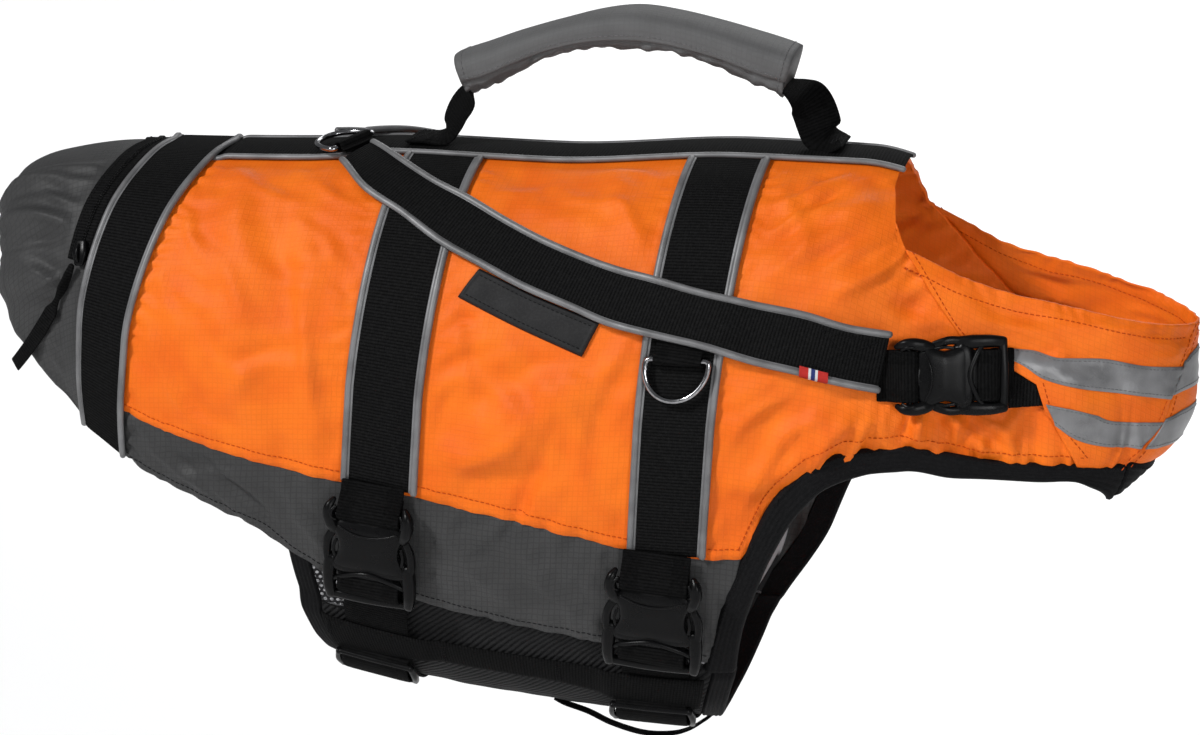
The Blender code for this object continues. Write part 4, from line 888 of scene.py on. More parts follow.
def belly_mesh(name):
    """Spacer mesh: a honeycomb of holes where three waves, cos at 60 degrees apart, add up; where bare, the light
    seen through the holes is painted in as light grey.

    The first UV number above 1 marks the parts with nothing behind the holes; elsewhere the mesh is dark, with
    painted light on the crests of its diagonal ribs.
    """
    net = Finish(name, (0.016, 0.016, 0.017), 0.8, 0.15)
    x, y = net.node("SeparateXYZ", net.flat).outputs[:2]
    half, across = net.math("MULTIPLY", y, 907.6), net.math("MULTIPLY", x, 1572.0)
    turns = (net.math("ADD", across, half), net.math("SUBTRACT", across, half), net.math("MULTIPLY", half, 2.0))
    first, second, third = [net.math("COSINE", turn) for turn in turns]
    holes = net.ramp(net.math("ADD", net.math("ADD", first, second), third), 0.2, 0.8)
    slant = net.math("ADD", net.math("MULTIPLY", y, 720.0), net.math("MULTIPLY", x, 640.0))
    ribs = net.math("ABSOLUTE", net.math("SINE", slant))
    # Painted light and shade: the diagonal ribs are lighter on their crests and darker between them.
    dark = net.mix(ribs, grey(0.002, 0.0023), grey(0.011, 0.0115))
    # Painted light: the holes are light grey for the light seen through them.
    light = net.mix(holes, grey(0.012, 0.013), grey(0.26, 0.27))
    net.coat(net.mix(net.math("GREATER_THAN", x, 1.0), dark, light))
    net.bump(net.plus(ribs, holes, -0.8), 0.9, 0.0009)


def striped_tag(name):
    """A woven tag: red, white, dark blue, white, red along its length."""
    net = Finish(name, (0.4, 0.02, 0.02), 0.7, 0.1)
    y = net.node("SeparateXYZ", net.flat).outputs[1]
    off = net.math("ABSOLUTE", net.math("SUBTRACT", y, 0.5))
    white = net.mix(net.math("LESS_THAN", off, 0.17), (0.36, 0.022, 0.018, 1.0), grey(0.5))
    net.coat(net.mix(net.math("LESS_THAN", off, 0.075), white, (0.02, 0.03, 0.12, 1.0)))
    net.bump(net.math("SINE", net.math("MULTIPLY", y, 190.0)), 0.4, 0.0002)


def finishes(colours):
    """All materials of the jacket, by their plain names."""
    if not bpy.data.materials.get("orange ripstop"):
        orange, cloth_grey, strap = tuple(colours.orange), tuple(colours.grey), tuple(colours.webbing)
        # The third colour given to each ripstop below is painted shade for the hollows of its crumples.
        hollow_shade = (orange[0] * 0.82, orange[1] * 0.55, orange[2] * 0.5)
        ripstop("orange ripstop", orange, hollow_shade, 0.0031, 0.52, 0.03)
        ripstop("grey ripstop", cloth_grey, tint(cloth_grey, 0.68)[:3], 0.0034, 0.46, 0.026, 0.62)
        ripstop("sleeve cloth", tint(cloth_grey, 2.3)[:3], tint(cloth_grey, 1.8)[:3], 0.0031, 0.6, 0.02)
        webbing("black webbing", strap, 0.0019, 0.005)
        webbing("belt webbing", strap, 0.0018)
        elastic("black elastic")
        reflective("grey piping", tint(colours.piping, 0.88)[:3], 0.5)
        reflective("reflective tape", tint(colours.piping, 1.02)[:3], 0.42)
        speckled("black plastic", (0.003, 0.003, 0.0033), 0.3, 0.1, 0.0007,
                 (grey(0.002, 0.0022), grey(0.004, 0.0043)), (0.18, 0.00012), (0.24, 0.36), 0.012)
        speckled("polished steel", (0.3, 0.3, 0.31), 0.12, 0.5, 0.0018, (grey(0.32, 0.33), grey(0.22, 0.23)),
                 (0.05, 0.0001), (0.08, 0.22), metallic=1.0)
        belly_mesh("belly mesh")
        speckled("patch rubber", (0.011, 0.011, 0.0115), 0.6, 0.16, 0.0012,
                 (grey(0.009, 0.0095), grey(0.014, 0.0145)), (0.25, 0.0002))
        striped_tag("striped tag")
        thread("orange thread", (orange[0] * 0.62, orange[1] * 0.4, orange[2] * 0.5))
        thread("black thread", (0.0035, 0.0035, 0.004))
        thread("grey thread", (0.13, 0.13, 0.133))
    return {made.name: made for made in bpy.data.materials}


# ---------------------------------------------------------------- cloth panels
def between(top, bottom, cols, rows, end=None):
    """Runs and angles over a patch between two lines that share their columns, as smooth curves."""
    top, bottom = np.array(top, float), np.array(bottom, float)
    steps = np.linalg.norm(np.diff((top + bottom) / 2.0, axis=0) * (1.0, DEGREE), axis=1)
    counts = np.maximum(1, np.round(steps / steps.sum() * cols)).astype(int)
    at = np.concatenate([[0.0]] + [k + np.arange(1, n + 1) / n for k, n in enumerate(counts)])
    upper, lower = [at_distance(at, np.arange(len(top), dtype=float), edge) for edge in (top, bottom)]
    t = np.linspace(0.0, 1.0, rows + 1)[:, None, None]
    grid = upper[None] * (1.0 - t) + lower[None] * t
    if end:
        bow = np.stack(along(end, t.ravel()), -1) - grid[:, -1]
        grid = grid + bow[:, None] * smooth(at, at[-1] - 4.0, at[-1])[None, :, None]
    return grid[..., 0], grid[..., 1]


def cloth_uv(run, angle):
    """The cloth's own plane in metres: the run, and the distance round the body from the spine."""
    return np.stack([run, girth(run, angle)], -1) * MM


def cloth(run, angle, height, wall, side, uv=None):
    """A shell of cloth: its face at the height above the form, its back a wall further in."""
    return shell(place(run, angle, height, side), place(run, angle, height - wall, side),
                 cloth_uv(run, angle) if uv is None else uv)


def on_side(height, side, more=0.0):
    """A height of the cloth as a function of run and angle alone, on one side, with more added."""
    return lambda run, angle: height(run, angle, side) + more


def raised(height, more):
    """A height, either a number or a function of run and angle, with more added."""
    return (lambda run, angle: height(run, angle) + more) if callable(height) else height + more


def seam_stitches(line, inset, side, finish_height, start=0.0, stop=1.0, **more):
    """Stitches along a line of the form, moved by inset (run, angle), lying on the cloth's height."""
    run, angle = along(shifted(line, *inset), np.linspace(start, stop, 160))
    point, _, _, normal = frame_at(run, angle, side)
    height = finish_height(run, angle) + 0.12
    return stitches(point + normal * np.asarray(height)[:, None], normal, **more)


def edge_dip(run, ring, line, depth, reach):
    """How far the cloth dips towards a sewn line: depth * exp(-(distance / reach)^2)."""
    return depth * np.exp(-(off_line(line, run, ring)[0] / reach) ** 2)


def panel_height(run, angle, side):
    """The side panel's face, drawn in along the leg's binding."""
    ring = ring_angle(angle)
    return skin(run, angle, side) - edge_dip(run, ring, shifted(LEG_EDGE, 1.0, 0.9), 1.6, 3.4)


def side_panels(kit):
    """Orange sides, foam between two layers: height = skin; they thin out towards the neck."""
    spine = tuple((run, 0.15) for run in (-212, -190, -140, -84, -38, 20, 80, 128, 158))
    neck = ((166, .15), (175, .15), (185, .15), (199, .15), (200, 20), (204, 35), (212, 44), (238, 58),
            (259, 68.5), (290, 78), (303, 90), (318, 96.3))
    leg = ((154, 105), (161, 100), (170, 96.5), (183, 93.5), (205, 92), (225, 92.3), (243, 93.5),
           (264, 95.3), (283, 96.4), (300, 97.3), (308, 97.7), (319, 98.2))
    bottom = shifted(GREY_SEAM, 0.15, 0.25) + shifted(leg, 1.0, 0.9)
    for side, tag in SIDES:
        run, angle = between(spine + neck, bottom, 236, 84)
        foam = FOAM_WALL - (FOAM_WALL - CLOTH_WALL) * smooth(run, 150.0, 200.0)
        seam_edge = 1.0 - smooth(off_line(GREY_SEAM, run, angle)[0], 1.5, 5.0)
        height = panel_height(run, angle, side) + 0.55 * seam_edge
        made = add(f"side_panel_cloth_{tag}", cloth(run, angle, height, foam, side), kit["orange ripstop"],
                   [f"side_panel_{tag}"])
        face = on_side(panel_height, side, 0.45)
        lines = [seam_stitches(GREY_SEAM, (0, -1.7), side, face),
                 seam_stitches(LEG_EDGE[4:], (-3.0, -1.6), side, face)]
        add(f"side_panel_stitches_{tag}", lines, kit["orange thread"])


def flank_panels(kit):
    """Grey flanks below the seam: height = skin, tucked a little under the orange edge."""
    top = GREY_SEAM[:-1] + ((133, 110), (138, 110), (143, 110), (146.4, 110))
    bottom = FLANK_EDGE[:-1] + shifted((FLANK_EDGE[-1],) + LEG_EDGE[1:4], 0.9, 0.4)
    for side, tag in SIDES:
        run, angle = between(shifted(top, 0.15, 0.1), bottom, 200, 26)
        ring = ring_angle(angle)
        height = skin(run, angle, side) - edge_dip(run, ring, GREY_SEAM, 0.3, 3.0)
        made = add(f"flank_cloth_{tag}", cloth(run, angle, height, CLOTH_WALL - 0.6, side),
                   kit["grey ripstop"], stands_for=[f"flank_panel_{tag}"])
        add(f"flank_stitches_{tag}", [seam_stitches(FLANK_EDGE, (0, -1.8), side, on_side(skin, side))],
            kit["black thread"])


RUMP_RIM = ((0, -336), (22, -334), (44, -329), (74, -327), (84, -329), (95, -323), (100, -318),
            (106, -311), (112, -304), (116, -297), (119, -282), (121, -264))
RUMP_FRONT = (0, 22, 44, 72, 82, 91, 97, 103, 109, 114, 118, 121.5)


def rump_hood(kit):
    """Grey hood over the rump, open behind; its rim is turned in and sewn down."""
    half = [(through_line(REAR_JOIN, f) - 0.15, f, run, angle) for (angle, run), f in zip(RUMP_RIM, RUMP_FRONT)]
    rows = [(a, -b, c, -d) for a, b, c, d in half[:0:-1]] + half
    run, angle = between([(a, b) for a, b, _, _ in rows], [(c, d) for _, _, c, d in rows], 230, 50)
    height = skin(run, angle, -1)
    rim = np.linspace(0.0, 1.0, run.shape[0])[:, None]
    height = height + 0.5 * (1.0 - smooth(np.abs(rim - 0.97), 0.02, 0.05)) * smooth(rim, 0.9, 0.93)
    made = add("rump_cloth", cloth(run, angle, height, CLOTH_WALL - 0.6, -1), kit["grey ripstop"], ["rump_panel"])


def chest_collars(kit):
    """The two sides of the collar, sewn together at the right of the chest."""
    low = ((213, 45), (228, 55.6), (247, 67), (268, 73), (284, 79), (289.5, 88), (308, 98.4), (322, 99.1))
    near_neck = NECK_EDGE + ((340, 59), (358, 60.9), (375, 62.3), CHEST_SEAM[0])
    near_seam = CHEST_SEAM[:-1] + ((338, 99.8),)
    near_low = low + ((326, 99.3), (329, 99.4), (332, 99.5), near_seam[-1])
    seam = shifted(mirrored_chest(near_seam), -0.6)
    far_neck = NECK_EDGE + ((342, 59.3), (362, 61.4), (376, 62.5), (388, 63), seam[0])
    far_low = low + ((344, 100.2), (365, 101.8), (388, 102.7), (416, 102.2), seam[-1])
    for side, tag, neck, hem, end, cols in ((-1, "R", near_neck, near_low, near_seam, 140),
                                            (1, "L", far_neck, far_low, seam, 200)):
        run, angle = between(neck, hem, cols, 58, end)
        hem_line = LEG_EDGE + CHEST_TOP if side > 0 else LEG_EDGE
        height = collar_face(run, angle, side) - edge_dip(run, angle, shifted(hem_line, 0.0, 1.0), 2.6, 3.6)
        height = np.maximum(height, -1.1)
        made = add(f"collar_cloth_{tag}", cloth(run, angle, height, CLOTH_WALL - 0.8, side),
                   kit["orange ripstop"], stands_for=[f"collar_{tag}"])
        face, under = on_side(collar_face, side), on_side(collar_face, side, 0.55 - CLOTH_WALL)
        lines = [seam_stitches(line, inset, side, height) for line, inset, height in (
            (COLLAR_SEAM[:4], (3.0, 0.0), face), (neck[:-1], (0, 5.6), face), (neck[:-1], (0, 5.6), under),
            (COLLAR_SEAM[4:], (4.0, 0.0), face), (end, (-3.5, 0.0), face))]
        add(f"collar_stitches_{tag}", lines, kit["orange thread"])


def belly_pad(kit):
    """Mesh pad under the belly from flank to flank, bare of backing near its corners."""
    half = ((117, -112, 130), (124, -109.5, 131), (131, -106.5, 132), (138, -103.5, 133.2),
            (145, -100.6, 130), (152, -97.6, 127.2), (161, -93.6, 124), (170, -91.6, 121.5), (180, -90.6, 120.5))
    rows = half + tuple((360 - angle, rear, front) for angle, rear, front in half[-2::-1])
    run, angle = between([(r, a) for a, r, _ in rows], [(f, a) for a, _, f in rows], 146, 76)
    height = belly_face(run, angle) + 0.3 * waves(run, angle * DEGREE, 31, 30.0)
    ring = ring_angle(angle)
    bare = (smooth(run, 96.0, 104.0) * (1 - smooth(ring, 136.0, 139.0))
            + (1 - smooth(run, -94.0, -84.0)) * (1 - smooth(ring, 136.0, 139.0)))
    uv = cloth_uv(run, angle)
    # Where bare, the mesh's holes are painted light grey for the light seen through them.
    uv[..., 0] += np.where(bare > 0.5, 2.0, 0.0)
    made = add("belly_pad", cloth(run, angle, height, BELLY_WALL, -1, uv), kit["belly mesh"],
               stands_for=["belly_panel"])


# ---------------------------------------------------------------- strips
def height_at(height, run, angle):
    """A height at the places of a grid: the number, or what the function gives there."""
    return (height(run, angle) if callable(height) else height) + 0.0 * run


def shifted_between(edge_a, edge_b, share, count=40):
    """A line at a share of the way from one edge of a strip to the other."""
    t = np.linspace(0.0, 1.0, count)
    a, b = np.stack(along(edge_a, t), -1), np.stack(along(edge_b, t), -1)
    return a * (1.0 - share) + b * share


def lines_grid(edge_a, edge_b, steps, across):
    """Runs and angles between two lines of the form, and how far across and along each place is."""
    fractions = np.linspace(0.0, 1.0, steps + 1)
    a = np.stack(along(edge_a, fractions), -1)
    b = np.stack(along(edge_b, fractions), -1)
    w = np.linspace(0.0, 1.0, across + 1)
    at = a[:, None] * (1.0 - w[None, :, None]) + b[:, None] * w[None, :, None]
    return at[..., 0], at[..., 1], *np.broadcast_arrays(w, fractions[:, None])


def arc_uv(points):
    """Distances in metres across and along a grid of points, from its first row and column."""
    across, ahead = travelled(points[len(points) // 2]), travelled(points[:, points.shape[1] // 2])
    return np.stack(np.broadcast_arrays(across[None, :], ahead[:, None]), -1) * MM


def tape(edge_a, edge_b, steps, across, low, high, side, swell=0.25, extra=None):
    """A woven strip: its face = high + swell * (1 - (2w - 1)^6), so that its edges roll off."""
    run, angle, w, t = lines_grid(edge_a, edge_b, steps, across)
    face = height_at(high, run, angle) - swell * np.abs(2 * w - 1) ** 6
    if extra is not None:
        face = face + extra(run, angle, w, t)
    outer = place(run, angle, face, side)
    return shell(outer, place(run, angle, height_at(low, run, angle), side), arc_uv(outer))


def cord_between(edge_a, edge_b, share, steps, height, radius, side):
    """The round cord of the piping, along an edge of a strip at a share of its width."""
    run, angle = shifted_between(edge_a, edge_b, share, steps + 1).T
    point, _, _, normal = frame_at(run, angle, side)
    path = point + normal * height_at(height, run, angle)[:, None]
    across = np.cross(np.gradient(path, axis=0), normal)
    return sweep(path, across, radius, radius * 0.92, sides=8)


def piped_band(name, edge_a, edge_b, steps, low, side, width, kit, node, cord=PIPING / 2, uneven=0.0):
    """A webbing band with grey piping at both edges; each cord sits half a width inside the edge."""
    high = raised(low, WEBBING)
    inside = cord * 2.0 / width
    a = shifted_between(edge_a, edge_b, inside * 0.7)
    b = shifted_between(edge_a, edge_b, 1.0 - inside * 0.7)
    ripple = (lambda r, g, w, t: uneven * waves(r, g * DEGREE, 41, 60.0)) if uneven else None
    add(name, tape(a, b, steps, 10, low, high, side, extra=ripple), kit["black webbing"], stands_for=[node])
    cords = [cord_between(edge_a, edge_b, share, steps, raised(high, -0.35), cord * 0.98, side)
             for share in (inside * 0.5, 1.0 - inside * 0.5)]
    flat = [tape(shifted_between(edge_a, edge_b, s), shifted_between(edge_a, edge_b, e), steps, 2,
                 raised(high, -0.1), raised(high, 0.28), side, swell=0.1)
            for s, e in ((inside * 0.75, inside * 1.2), (1 - inside * 1.2, 1 - inside * 0.75))]
    add(name + "_piping", cords + flat, kit["grey piping"])


def bands(kit):
    """Webbing bands over the panels: along the spine, round the rump and down the sides."""
    under_rear = lambda run, angle: LIFT - 1.9 * (1.0 - smooth(run, -196.0, -189.0))
    piped_band("spine_webbing", SPINE_RIGHT, SPINE_LEFT, 180, under_rear, -1, 46.0, kit, "spine_band", cord=1.9)
    angles = np.linspace(-121.0, 121.0, 45)
    middle = through_line(REAR_JOIN, np.abs(angles))
    edges = [np.stack([middle + half, angles], -1) for half in (-REAR_BAND_HALF, REAR_BAND_HALF)]
    piped_band("rear_webbing", *edges, 190, LIFT + 0.4, -1, 41.0, kit, "rear_band", cord=1.9)
    for side, tag in SIDES:
        for name, band in (("mid", MID_BAND), ("front", FRONT_BAND)):
            piped_band(f"{name}_webbing_{tag}", band[0], band[1], 90, LIFT, side, 46.0, kit, f"{name}_band_{tag}",
                       cord=2.1, uneven=0.12)


# The sewn box at a strap's end and its first diagonal, as shares of the strap's length and width.
BOX_CORNERS = ((0.905, 0.2), (0.985, 0.2), (0.985, 0.8), (0.905, 0.8), (0.905, 0.2), (0.985, 0.8))


def shoulder_straps(kit):
    """Straps from the spine ring to the shoulder buckles, crossing over the bands."""
    def low(run, angle):
        return LIFT + WEBBING + PIPING / 2 + 0.3 + 2.4 * (1.0 - smooth(np.abs(run - 103.0), 20.0, 40.0))
    for side, tag in SIDES:
        start = (((-115.0, 4.5),), ((-137.0, 8.5),)) if side > 0 else ((), ())
        piped_band(f"shoulder_webbing_{tag}", start[0] + STRAP_UPPER, start[1] + STRAP_LOWER, 170, low, side, 46.0,
                   kit, f"shoulder_strap_{tag}", cord=2.1)
        parts = []
        for (t0, w0), (t1, w1) in zip(BOX_CORNERS[:-1] + ((0.905, 0.8),), BOX_CORNERS[1:] + ((0.985, 0.2),)):
            t, w = np.linspace(t0, t1, 14), np.linspace(w0, w1, 14)[:, None]
            at = np.stack(along(STRAP_UPPER, t), -1) * (1 - w) + np.stack(along(STRAP_LOWER, t), -1) * w
            point, _, _, normal = frame_at(at[:, 0], at[:, 1], side)
            height = (low(at[:, 0], at[:, 1]) + WEBBING + 0.1)[:, None]
            parts.append(stitches(point + normal * height, normal, 2.4, 1.9, 0.28))
        add(f"shoulder_stitches_{tag}", parts, kit["black thread"])
        def end_low(run, angle):
            return 1.0 + 2.2 * (1.0 - smooth(run, 260.0, 268.0))
        end = tape(((257, 73.6), (292, 74.2)), ((257, 85.6), (292, 85.6)), 40, 12, end_low,
                   raised(end_low, 1.5), side)
        add(f"strap_end_webbing_{tag}", end, kit["black webbing"], stands_for=[f"strap_end_{tag}"])


def collar_tapes(kit):
    """Satin tapes sewn round the collar, following its folds."""
    upper_top = UPPER_TAPE[0][:-1] + ((368, 77), (393, 73.5), (402, 74), (414, 76.7))
    upper_low = UPPER_TAPE[1][:-1] + ((362, 87.5), (393, 87.5), (412, 87.3), (424, 87.6))
    lower_top = LOWER_TAPE[0][:-2] + ((345, 92), (368, 92), (393, 91.5), (412, 91.5), (428, 92))
    lower_low = LOWER_TAPE[1][:-2] + ((340, 97), (368, 97.6), (393, 97.6), (418, 97.2), (438, 96.6))
    near_upper = (UPPER_TAPE[0][:-1] + ((370.4, 78.5),), UPPER_TAPE[1][:-1] + ((360.6, 88.6),))
    near_lower = (LOWER_TAPE[0][:-1] + ((356.8, 92.5),), LOWER_TAPE[1][:-1] + ((345.6, 96.3),))
    for name, side, top, bottom in (("upper_R", -1, *near_upper), ("lower_R", -1, *near_lower),
                                    ("upper_L", 1, upper_top, upper_low), ("lower_L", 1, lower_top, lower_low)):
        low = on_side(collar_face, side, 0.25)
        add(f"reflective_tape_{name}", tape(top, bottom, 80, 10, low, raised(low, 0.5), side, 0.15),
                   kit["reflective tape"], stands_for=[f"tape_{name}"])
        rows = [seam_stitches(shifted_between(top, bottom, share), (0, 0), side, raised(low, 0.45), pitch=2.6,
                              length=1.9, radius=0.22) for share in (0.1, 0.9)]
        add(f"tape_stitches_{name}", rows, kit["grey thread"])


def edge_bindings(kit):
    """Ribbed elastic folded over the edges: face = rib height * |sin(5 pi w)|, with a zigzag seam."""
    def ribs(count, gather):
        def over(run, angle, w, t):
            rib = 0.55 * np.abs(np.sin(count * np.pi * w)) ** 0.7 * smooth(w, 0.0, 0.06) * (1 - smooth(w, 0.94, 1.0))
            return rib + gather * waves(run, angle * DEGREE, 51, 22.0) - 0.5 * (1 - smooth(w, 0.0, 0.1))
        return over
    top = ((129.6, 137.9),) + shifted(LEG_EDGE, 0.0, 0.2)
    hem = ((145.6, 138.2),) + LEG_HEM
    for side, tag, a, b, steps in ((-1, "R", top, hem, 200),
                                   (1, "L", top[:-1] + CHEST_TOP, hem[:-1] + CHEST_HEM, 280)):
        add(f"leg_elastic_{tag}", tape(a, b, steps, 26, 1.0 - BINDING_WALL, 0.9, side, 0.5, ribs(5, 0.25)),
                   kit["black elastic"], stands_for=[f"leg_binding_{tag}"])
        seam = seam_stitches(shifted_between(a, b, 0.09), (0, 0), side, lambda r, g: 1.15 + 0 * r, pitch=2.2,
                             length=2.2, radius=0.25, zigzag=0.7)
        add(f"leg_stitches_{tag}", [seam], kit["black thread"])
    front_half = ((134.2, 138), (128.1, 152), (125, 161), (122.5, 170))
    rear_half = ((-113, 117), (-107.5, 131), (-101.6, 145), (-98.6, 152), (-94.6, 161), (-92.6, 170))
    front = front_half + ((121.5, 180),) + tuple((run, 360 - angle) for run, angle in front_half[::-1])
    rear = rear_half + ((-91.6, 180),) + tuple((run, 360 - angle) for run, angle in rear_half[::-1])
    for name, inner, away in (("front", front, 12.0), ("rear", rear, -13.0)):
        add(f"belly_{name}_elastic",
                   tape(inner, shifted(inner, away), 120, 26, raised(belly_face, 0.6 - BINDING_WALL),
                        raised(belly_face, 0.4), -1, 0.5, ribs(5, 0.15)),
                   kit["black elastic"], stands_for=[f"belly_{name}_binding"])


def belly_webbing(kit):
    """Webbing under the belly: two lengthwise strips with bar tacks, and two belts across."""
    def low(run, angle):
        lift = sum(1.0 - smooth(np.abs(run - centre), 27.0, 38.0) for _, centre in BELTS)
        return LIFT + lift * (BELT_LIFT + BELT + 0.3 - LIFT)
    top = ((-102.5, 139.4), (-88, 139.4), (-36, 139.2), (37, 139.2), (72, 139.4), (129, 140))
    bottom = ((-97, 151), (-91, 151), (-34, 147), (36, 147), (68, 149.5), (125, 152.5))
    for side, tag in SIDES:
        high = raised(low, BELT)
        add(f"belly_runner_{tag}", tape(top, bottom, 140, 8, low, high, side), kit["belt webbing"],
            [f"belly_webbing_{tag}"])
        tacks = []
        for run in (-28.0, 42.0, -98.0, 124.0):
            for shift in (-1.0, 0.0, 1.0):
                line = ((run + shift, 140.2), (run + shift, 146.4))
                tacks.append(seam_stitches(line, (0, 0), side, high, pitch=1.5, length=1.3, radius=0.3))
        add(f"belly_tacks_{tag}", tacks, kit["black thread"])
    for name, centre in BELTS:
        turns = np.linspace(131, 229, 15)
        a, b = tuple((centre - 19, t) for t in turns), tuple((centre + 19, t) for t in turns)
        add(f"belly_belt_{name}", tape(a, b, 110, 8, BELT_LIFT, BELT_LIFT + BELT, -1), kit["belt webbing"],
            [f"belly_strap_{name}"])
    loop = ((2, -316.5), (8, -319.4), (21.7, -323.6), (35.6, -329.6), (54.1, -334.2), (70.9, -333.6),
            (82.2, -329.8), (91.5, -323.4), (95, -320.5))
    path = curve([(x, -22, z) for x, z in loop], 80)
    add("belly_cord_elastic", sweep(path, (0, 1, 0), 4.0, 0.6, 0.5), kit["black elastic"],
        stands_for=["belly_elastic"])


# ---------------------------------------------------------------- handle
SLEEVE_ROWS = (
    (-49, 37.5, -59, 62, 0.22), (-38.5, 42.5, -41, 67.7, 0.32), (-21.5, 51.5, -20, 75.3, 0.40),
    (-2, 60.7, 0.4, 82.3, 0.42), (22.5, 66.2, 23.7, 88.3, 0.42), (46.9, 67.1, 46.9, 91.3, 0.42),
    (71.2, 64.5, 69.9, 88.7, 0.42), (93.2, 58.4, 93, 83.7, 0.40), (113.4, 50, 115.4, 77.7, 0.32),
    (130.5, 42.5, 139, 71.7, 0.20),
)
REAR_FOOT = ((-86, 11, 0, 34), (-77, 11.1, 0, 34), (-69.4, 11.6, 8, 31), (-65.2, 14.6, 24, 28),
             (-62.8, 20.5, 34, 27), (-58.9, 28.4, 36, 27), (-53.6, 35.6, 30, 29))
FRONT_FOOT = ((138.5, 45.6, 20, 30), (143.8, 41.5, 45, 28), (147.3, 35.5, 58, 27), (149.8, 28.8, 58, 27),
              (152, 22.5, 46, 28), (156, 18.4, 22, 30), (165, 17.8, 0, 34))


SLEEVE_LENGTH, SLEEVE_HALF, SLEEVE_POWER = 205.0, 22.0, 0.62
SLOT_HALF, SLOT_HALF_HEIGHT = 18.6, 2.8  # the way for the webbing through the sleeve
HANDLE_WEBBING = 33.0
FOOT_BOXES = ((-84, -74, 12.4), (159, 165, 19.2))  # the sewn boxes: from and to along the spine, and height
FOOT_HALF = 14


def carrying_handle(kit):
    """Sleeve: superellipses between its lower and upper lines, with a flap's edge along its right side."""
    rows = curve(np.array(SLEEVE_ROWS, float), 104)
    low = np.stack([rows[:, 0], 0 * rows[:, 0], rows[:, 1]], -1)
    rise = np.stack([rows[:, 2], 0 * rows[:, 0], rows[:, 3]], -1) - low
    centre = low + rise * rows[:, 4:5]
    height = np.linalg.norm(rise, axis=1)[:, None]
    up = rise / height
    across = np.array((0.0, 1.0, 0.0))
    turn = np.linspace(0.0, 2 * np.pi, 97)[:-1]
    x, z = superellipse(turn, SLEEVE_POWER)
    s = np.linspace(0.0, 1.0, len(rows))[:, None]
    degrees = np.degrees(turn)[None, :]
    edge = 184.5 + 7.5 * np.sin(np.pi * s) ** 0.7
    flap = smooth(degrees, edge, edge + 2.5) * (2.2 - 1.0 * smooth(degrees, edge + 5.0, edge + 25.0))
    flap = flap * (1 - smooth(degrees, 292.0, 330.0))
    ahead = s * SLEEVE_LENGTH
    pucker = 0.75 * waves(ahead, degrees * 0.2, 61, 11.0) * smooth(degrees, edge + 3.0, edge + 14.0)
    pucker = pucker * (1 - smooth(degrees, 300.0, 330.0))
    grow = pucker + 0.35 * waves(ahead, degrees * 0.4, 62, 45.0) - flap
    mouth = 1.0 - 0.05 * (np.exp(-s / 0.02) + np.exp(-(1 - s) / 0.02))
    outer = ((low + rise / 2.0)[:, None] + across * (x[None, :] * (SLEEVE_HALF * mouth + grow))[..., None]
             + up[:, None] * (z[None, :] * (height / 2.0 * mouth + grow))[..., None])
    inner = (centre[:, None] + across * (x * SLOT_HALF)[None, :, None]
             + up[:, None] * (z * SLOT_HALF_HEIGHT)[None, :, None])
    sections = np.concatenate([outer, inner[::-1]])
    uv = np.stack(np.broadcast_arrays(np.concatenate([ahead, ahead[::-1]]), turn * 17.0), -1) * MM
    made = add("handle_sleeve_cloth", loft(sections, uv, closed=True), kit["sleeve cloth"], ["handle_sleeve"])
    covered = np.stack([centre[:, 0], centre[:, 2], 0 * s[:, 0], 0 * s[:, 0] + HANDLE_WEBBING], -1)[2:-2:9]
    table = curve(np.concatenate([REAR_FOOT, covered, FRONT_FOOT]), 160)
    points = np.stack([table[:, 0], 0 * table[:, 0], table[:, 1]], -1)
    tangent = unit(np.gradient(points, axis=0))
    twist = np.radians(table[:, 2])[:, None]
    wide = across * np.cos(twist) + np.cross(tangent, across) * np.sin(twist)
    add("handle_strap", sweep(points, wide, table[:, 3] / 2.0, 1.2, 0.5, 20), kit["belt webbing"],
        ["handle_webbing"])
    sewn = outer[2:-2, 49]
    normal = np.broadcast_to((0.0, -1.0, 0.0), sewn.shape)
    parts = [stitches(sewn + normal * 0.15 + up[2:-2] * 0.8, normal, 3.0, 2.1, 0.25)]
    for k in (2, -3):
        mouth_line = np.concatenate([outer[k], outer[k][:1]])
        out = mouth_line - mouth_line.mean(0)
        parts.append(stitches(mouth_line + out * 0.012, out, 3.0, 2.1, 0.25))
    box = []
    for x0, x1, z in FOOT_BOXES:
        a, b, c, d = (x0, -FOOT_HALF, z), (x1, -FOOT_HALF, z), (x1, FOOT_HALF, z), (x0, FOOT_HALF, z)
        for line in ((a, b), (b, c), (c, d), (d, a), (a, c), (d, b)):
            box.append(stitches(line, [(0, 0, 1.0)] * 2, 2.4, 1.9, 0.28))
    add("handle_stitches", parts, kit["grey thread"])
    add("handle_box_stitches", box, kit["black thread"])


# ---------------------------------------------------------------- rings
def axes_at(run, angle, side):
    """frame_at for a single place."""
    return [values.reshape(3) for values in frame_at(np.array([run]), np.array([angle]), side)]


def ring_path(half_width, depth):
    """A D: a straight bar, and a bow of half_width cos t across and depth sin^0.85 t down."""
    turns = np.radians(np.linspace(0.0, 180.0, 15))
    bow = [(half_width * np.cos(t), depth * np.sin(t) ** 0.85) for t in turns]
    bow[0], bow[-1] = (half_width * 0.94, 0.6), (-half_width * 0.94, 0.6)
    bar = [(-half_width * 0.6, 0.0), (0.0, 0.0), (half_width * 0.6, 0.0)]
    return curve(bow + bar, 110, closed=True)


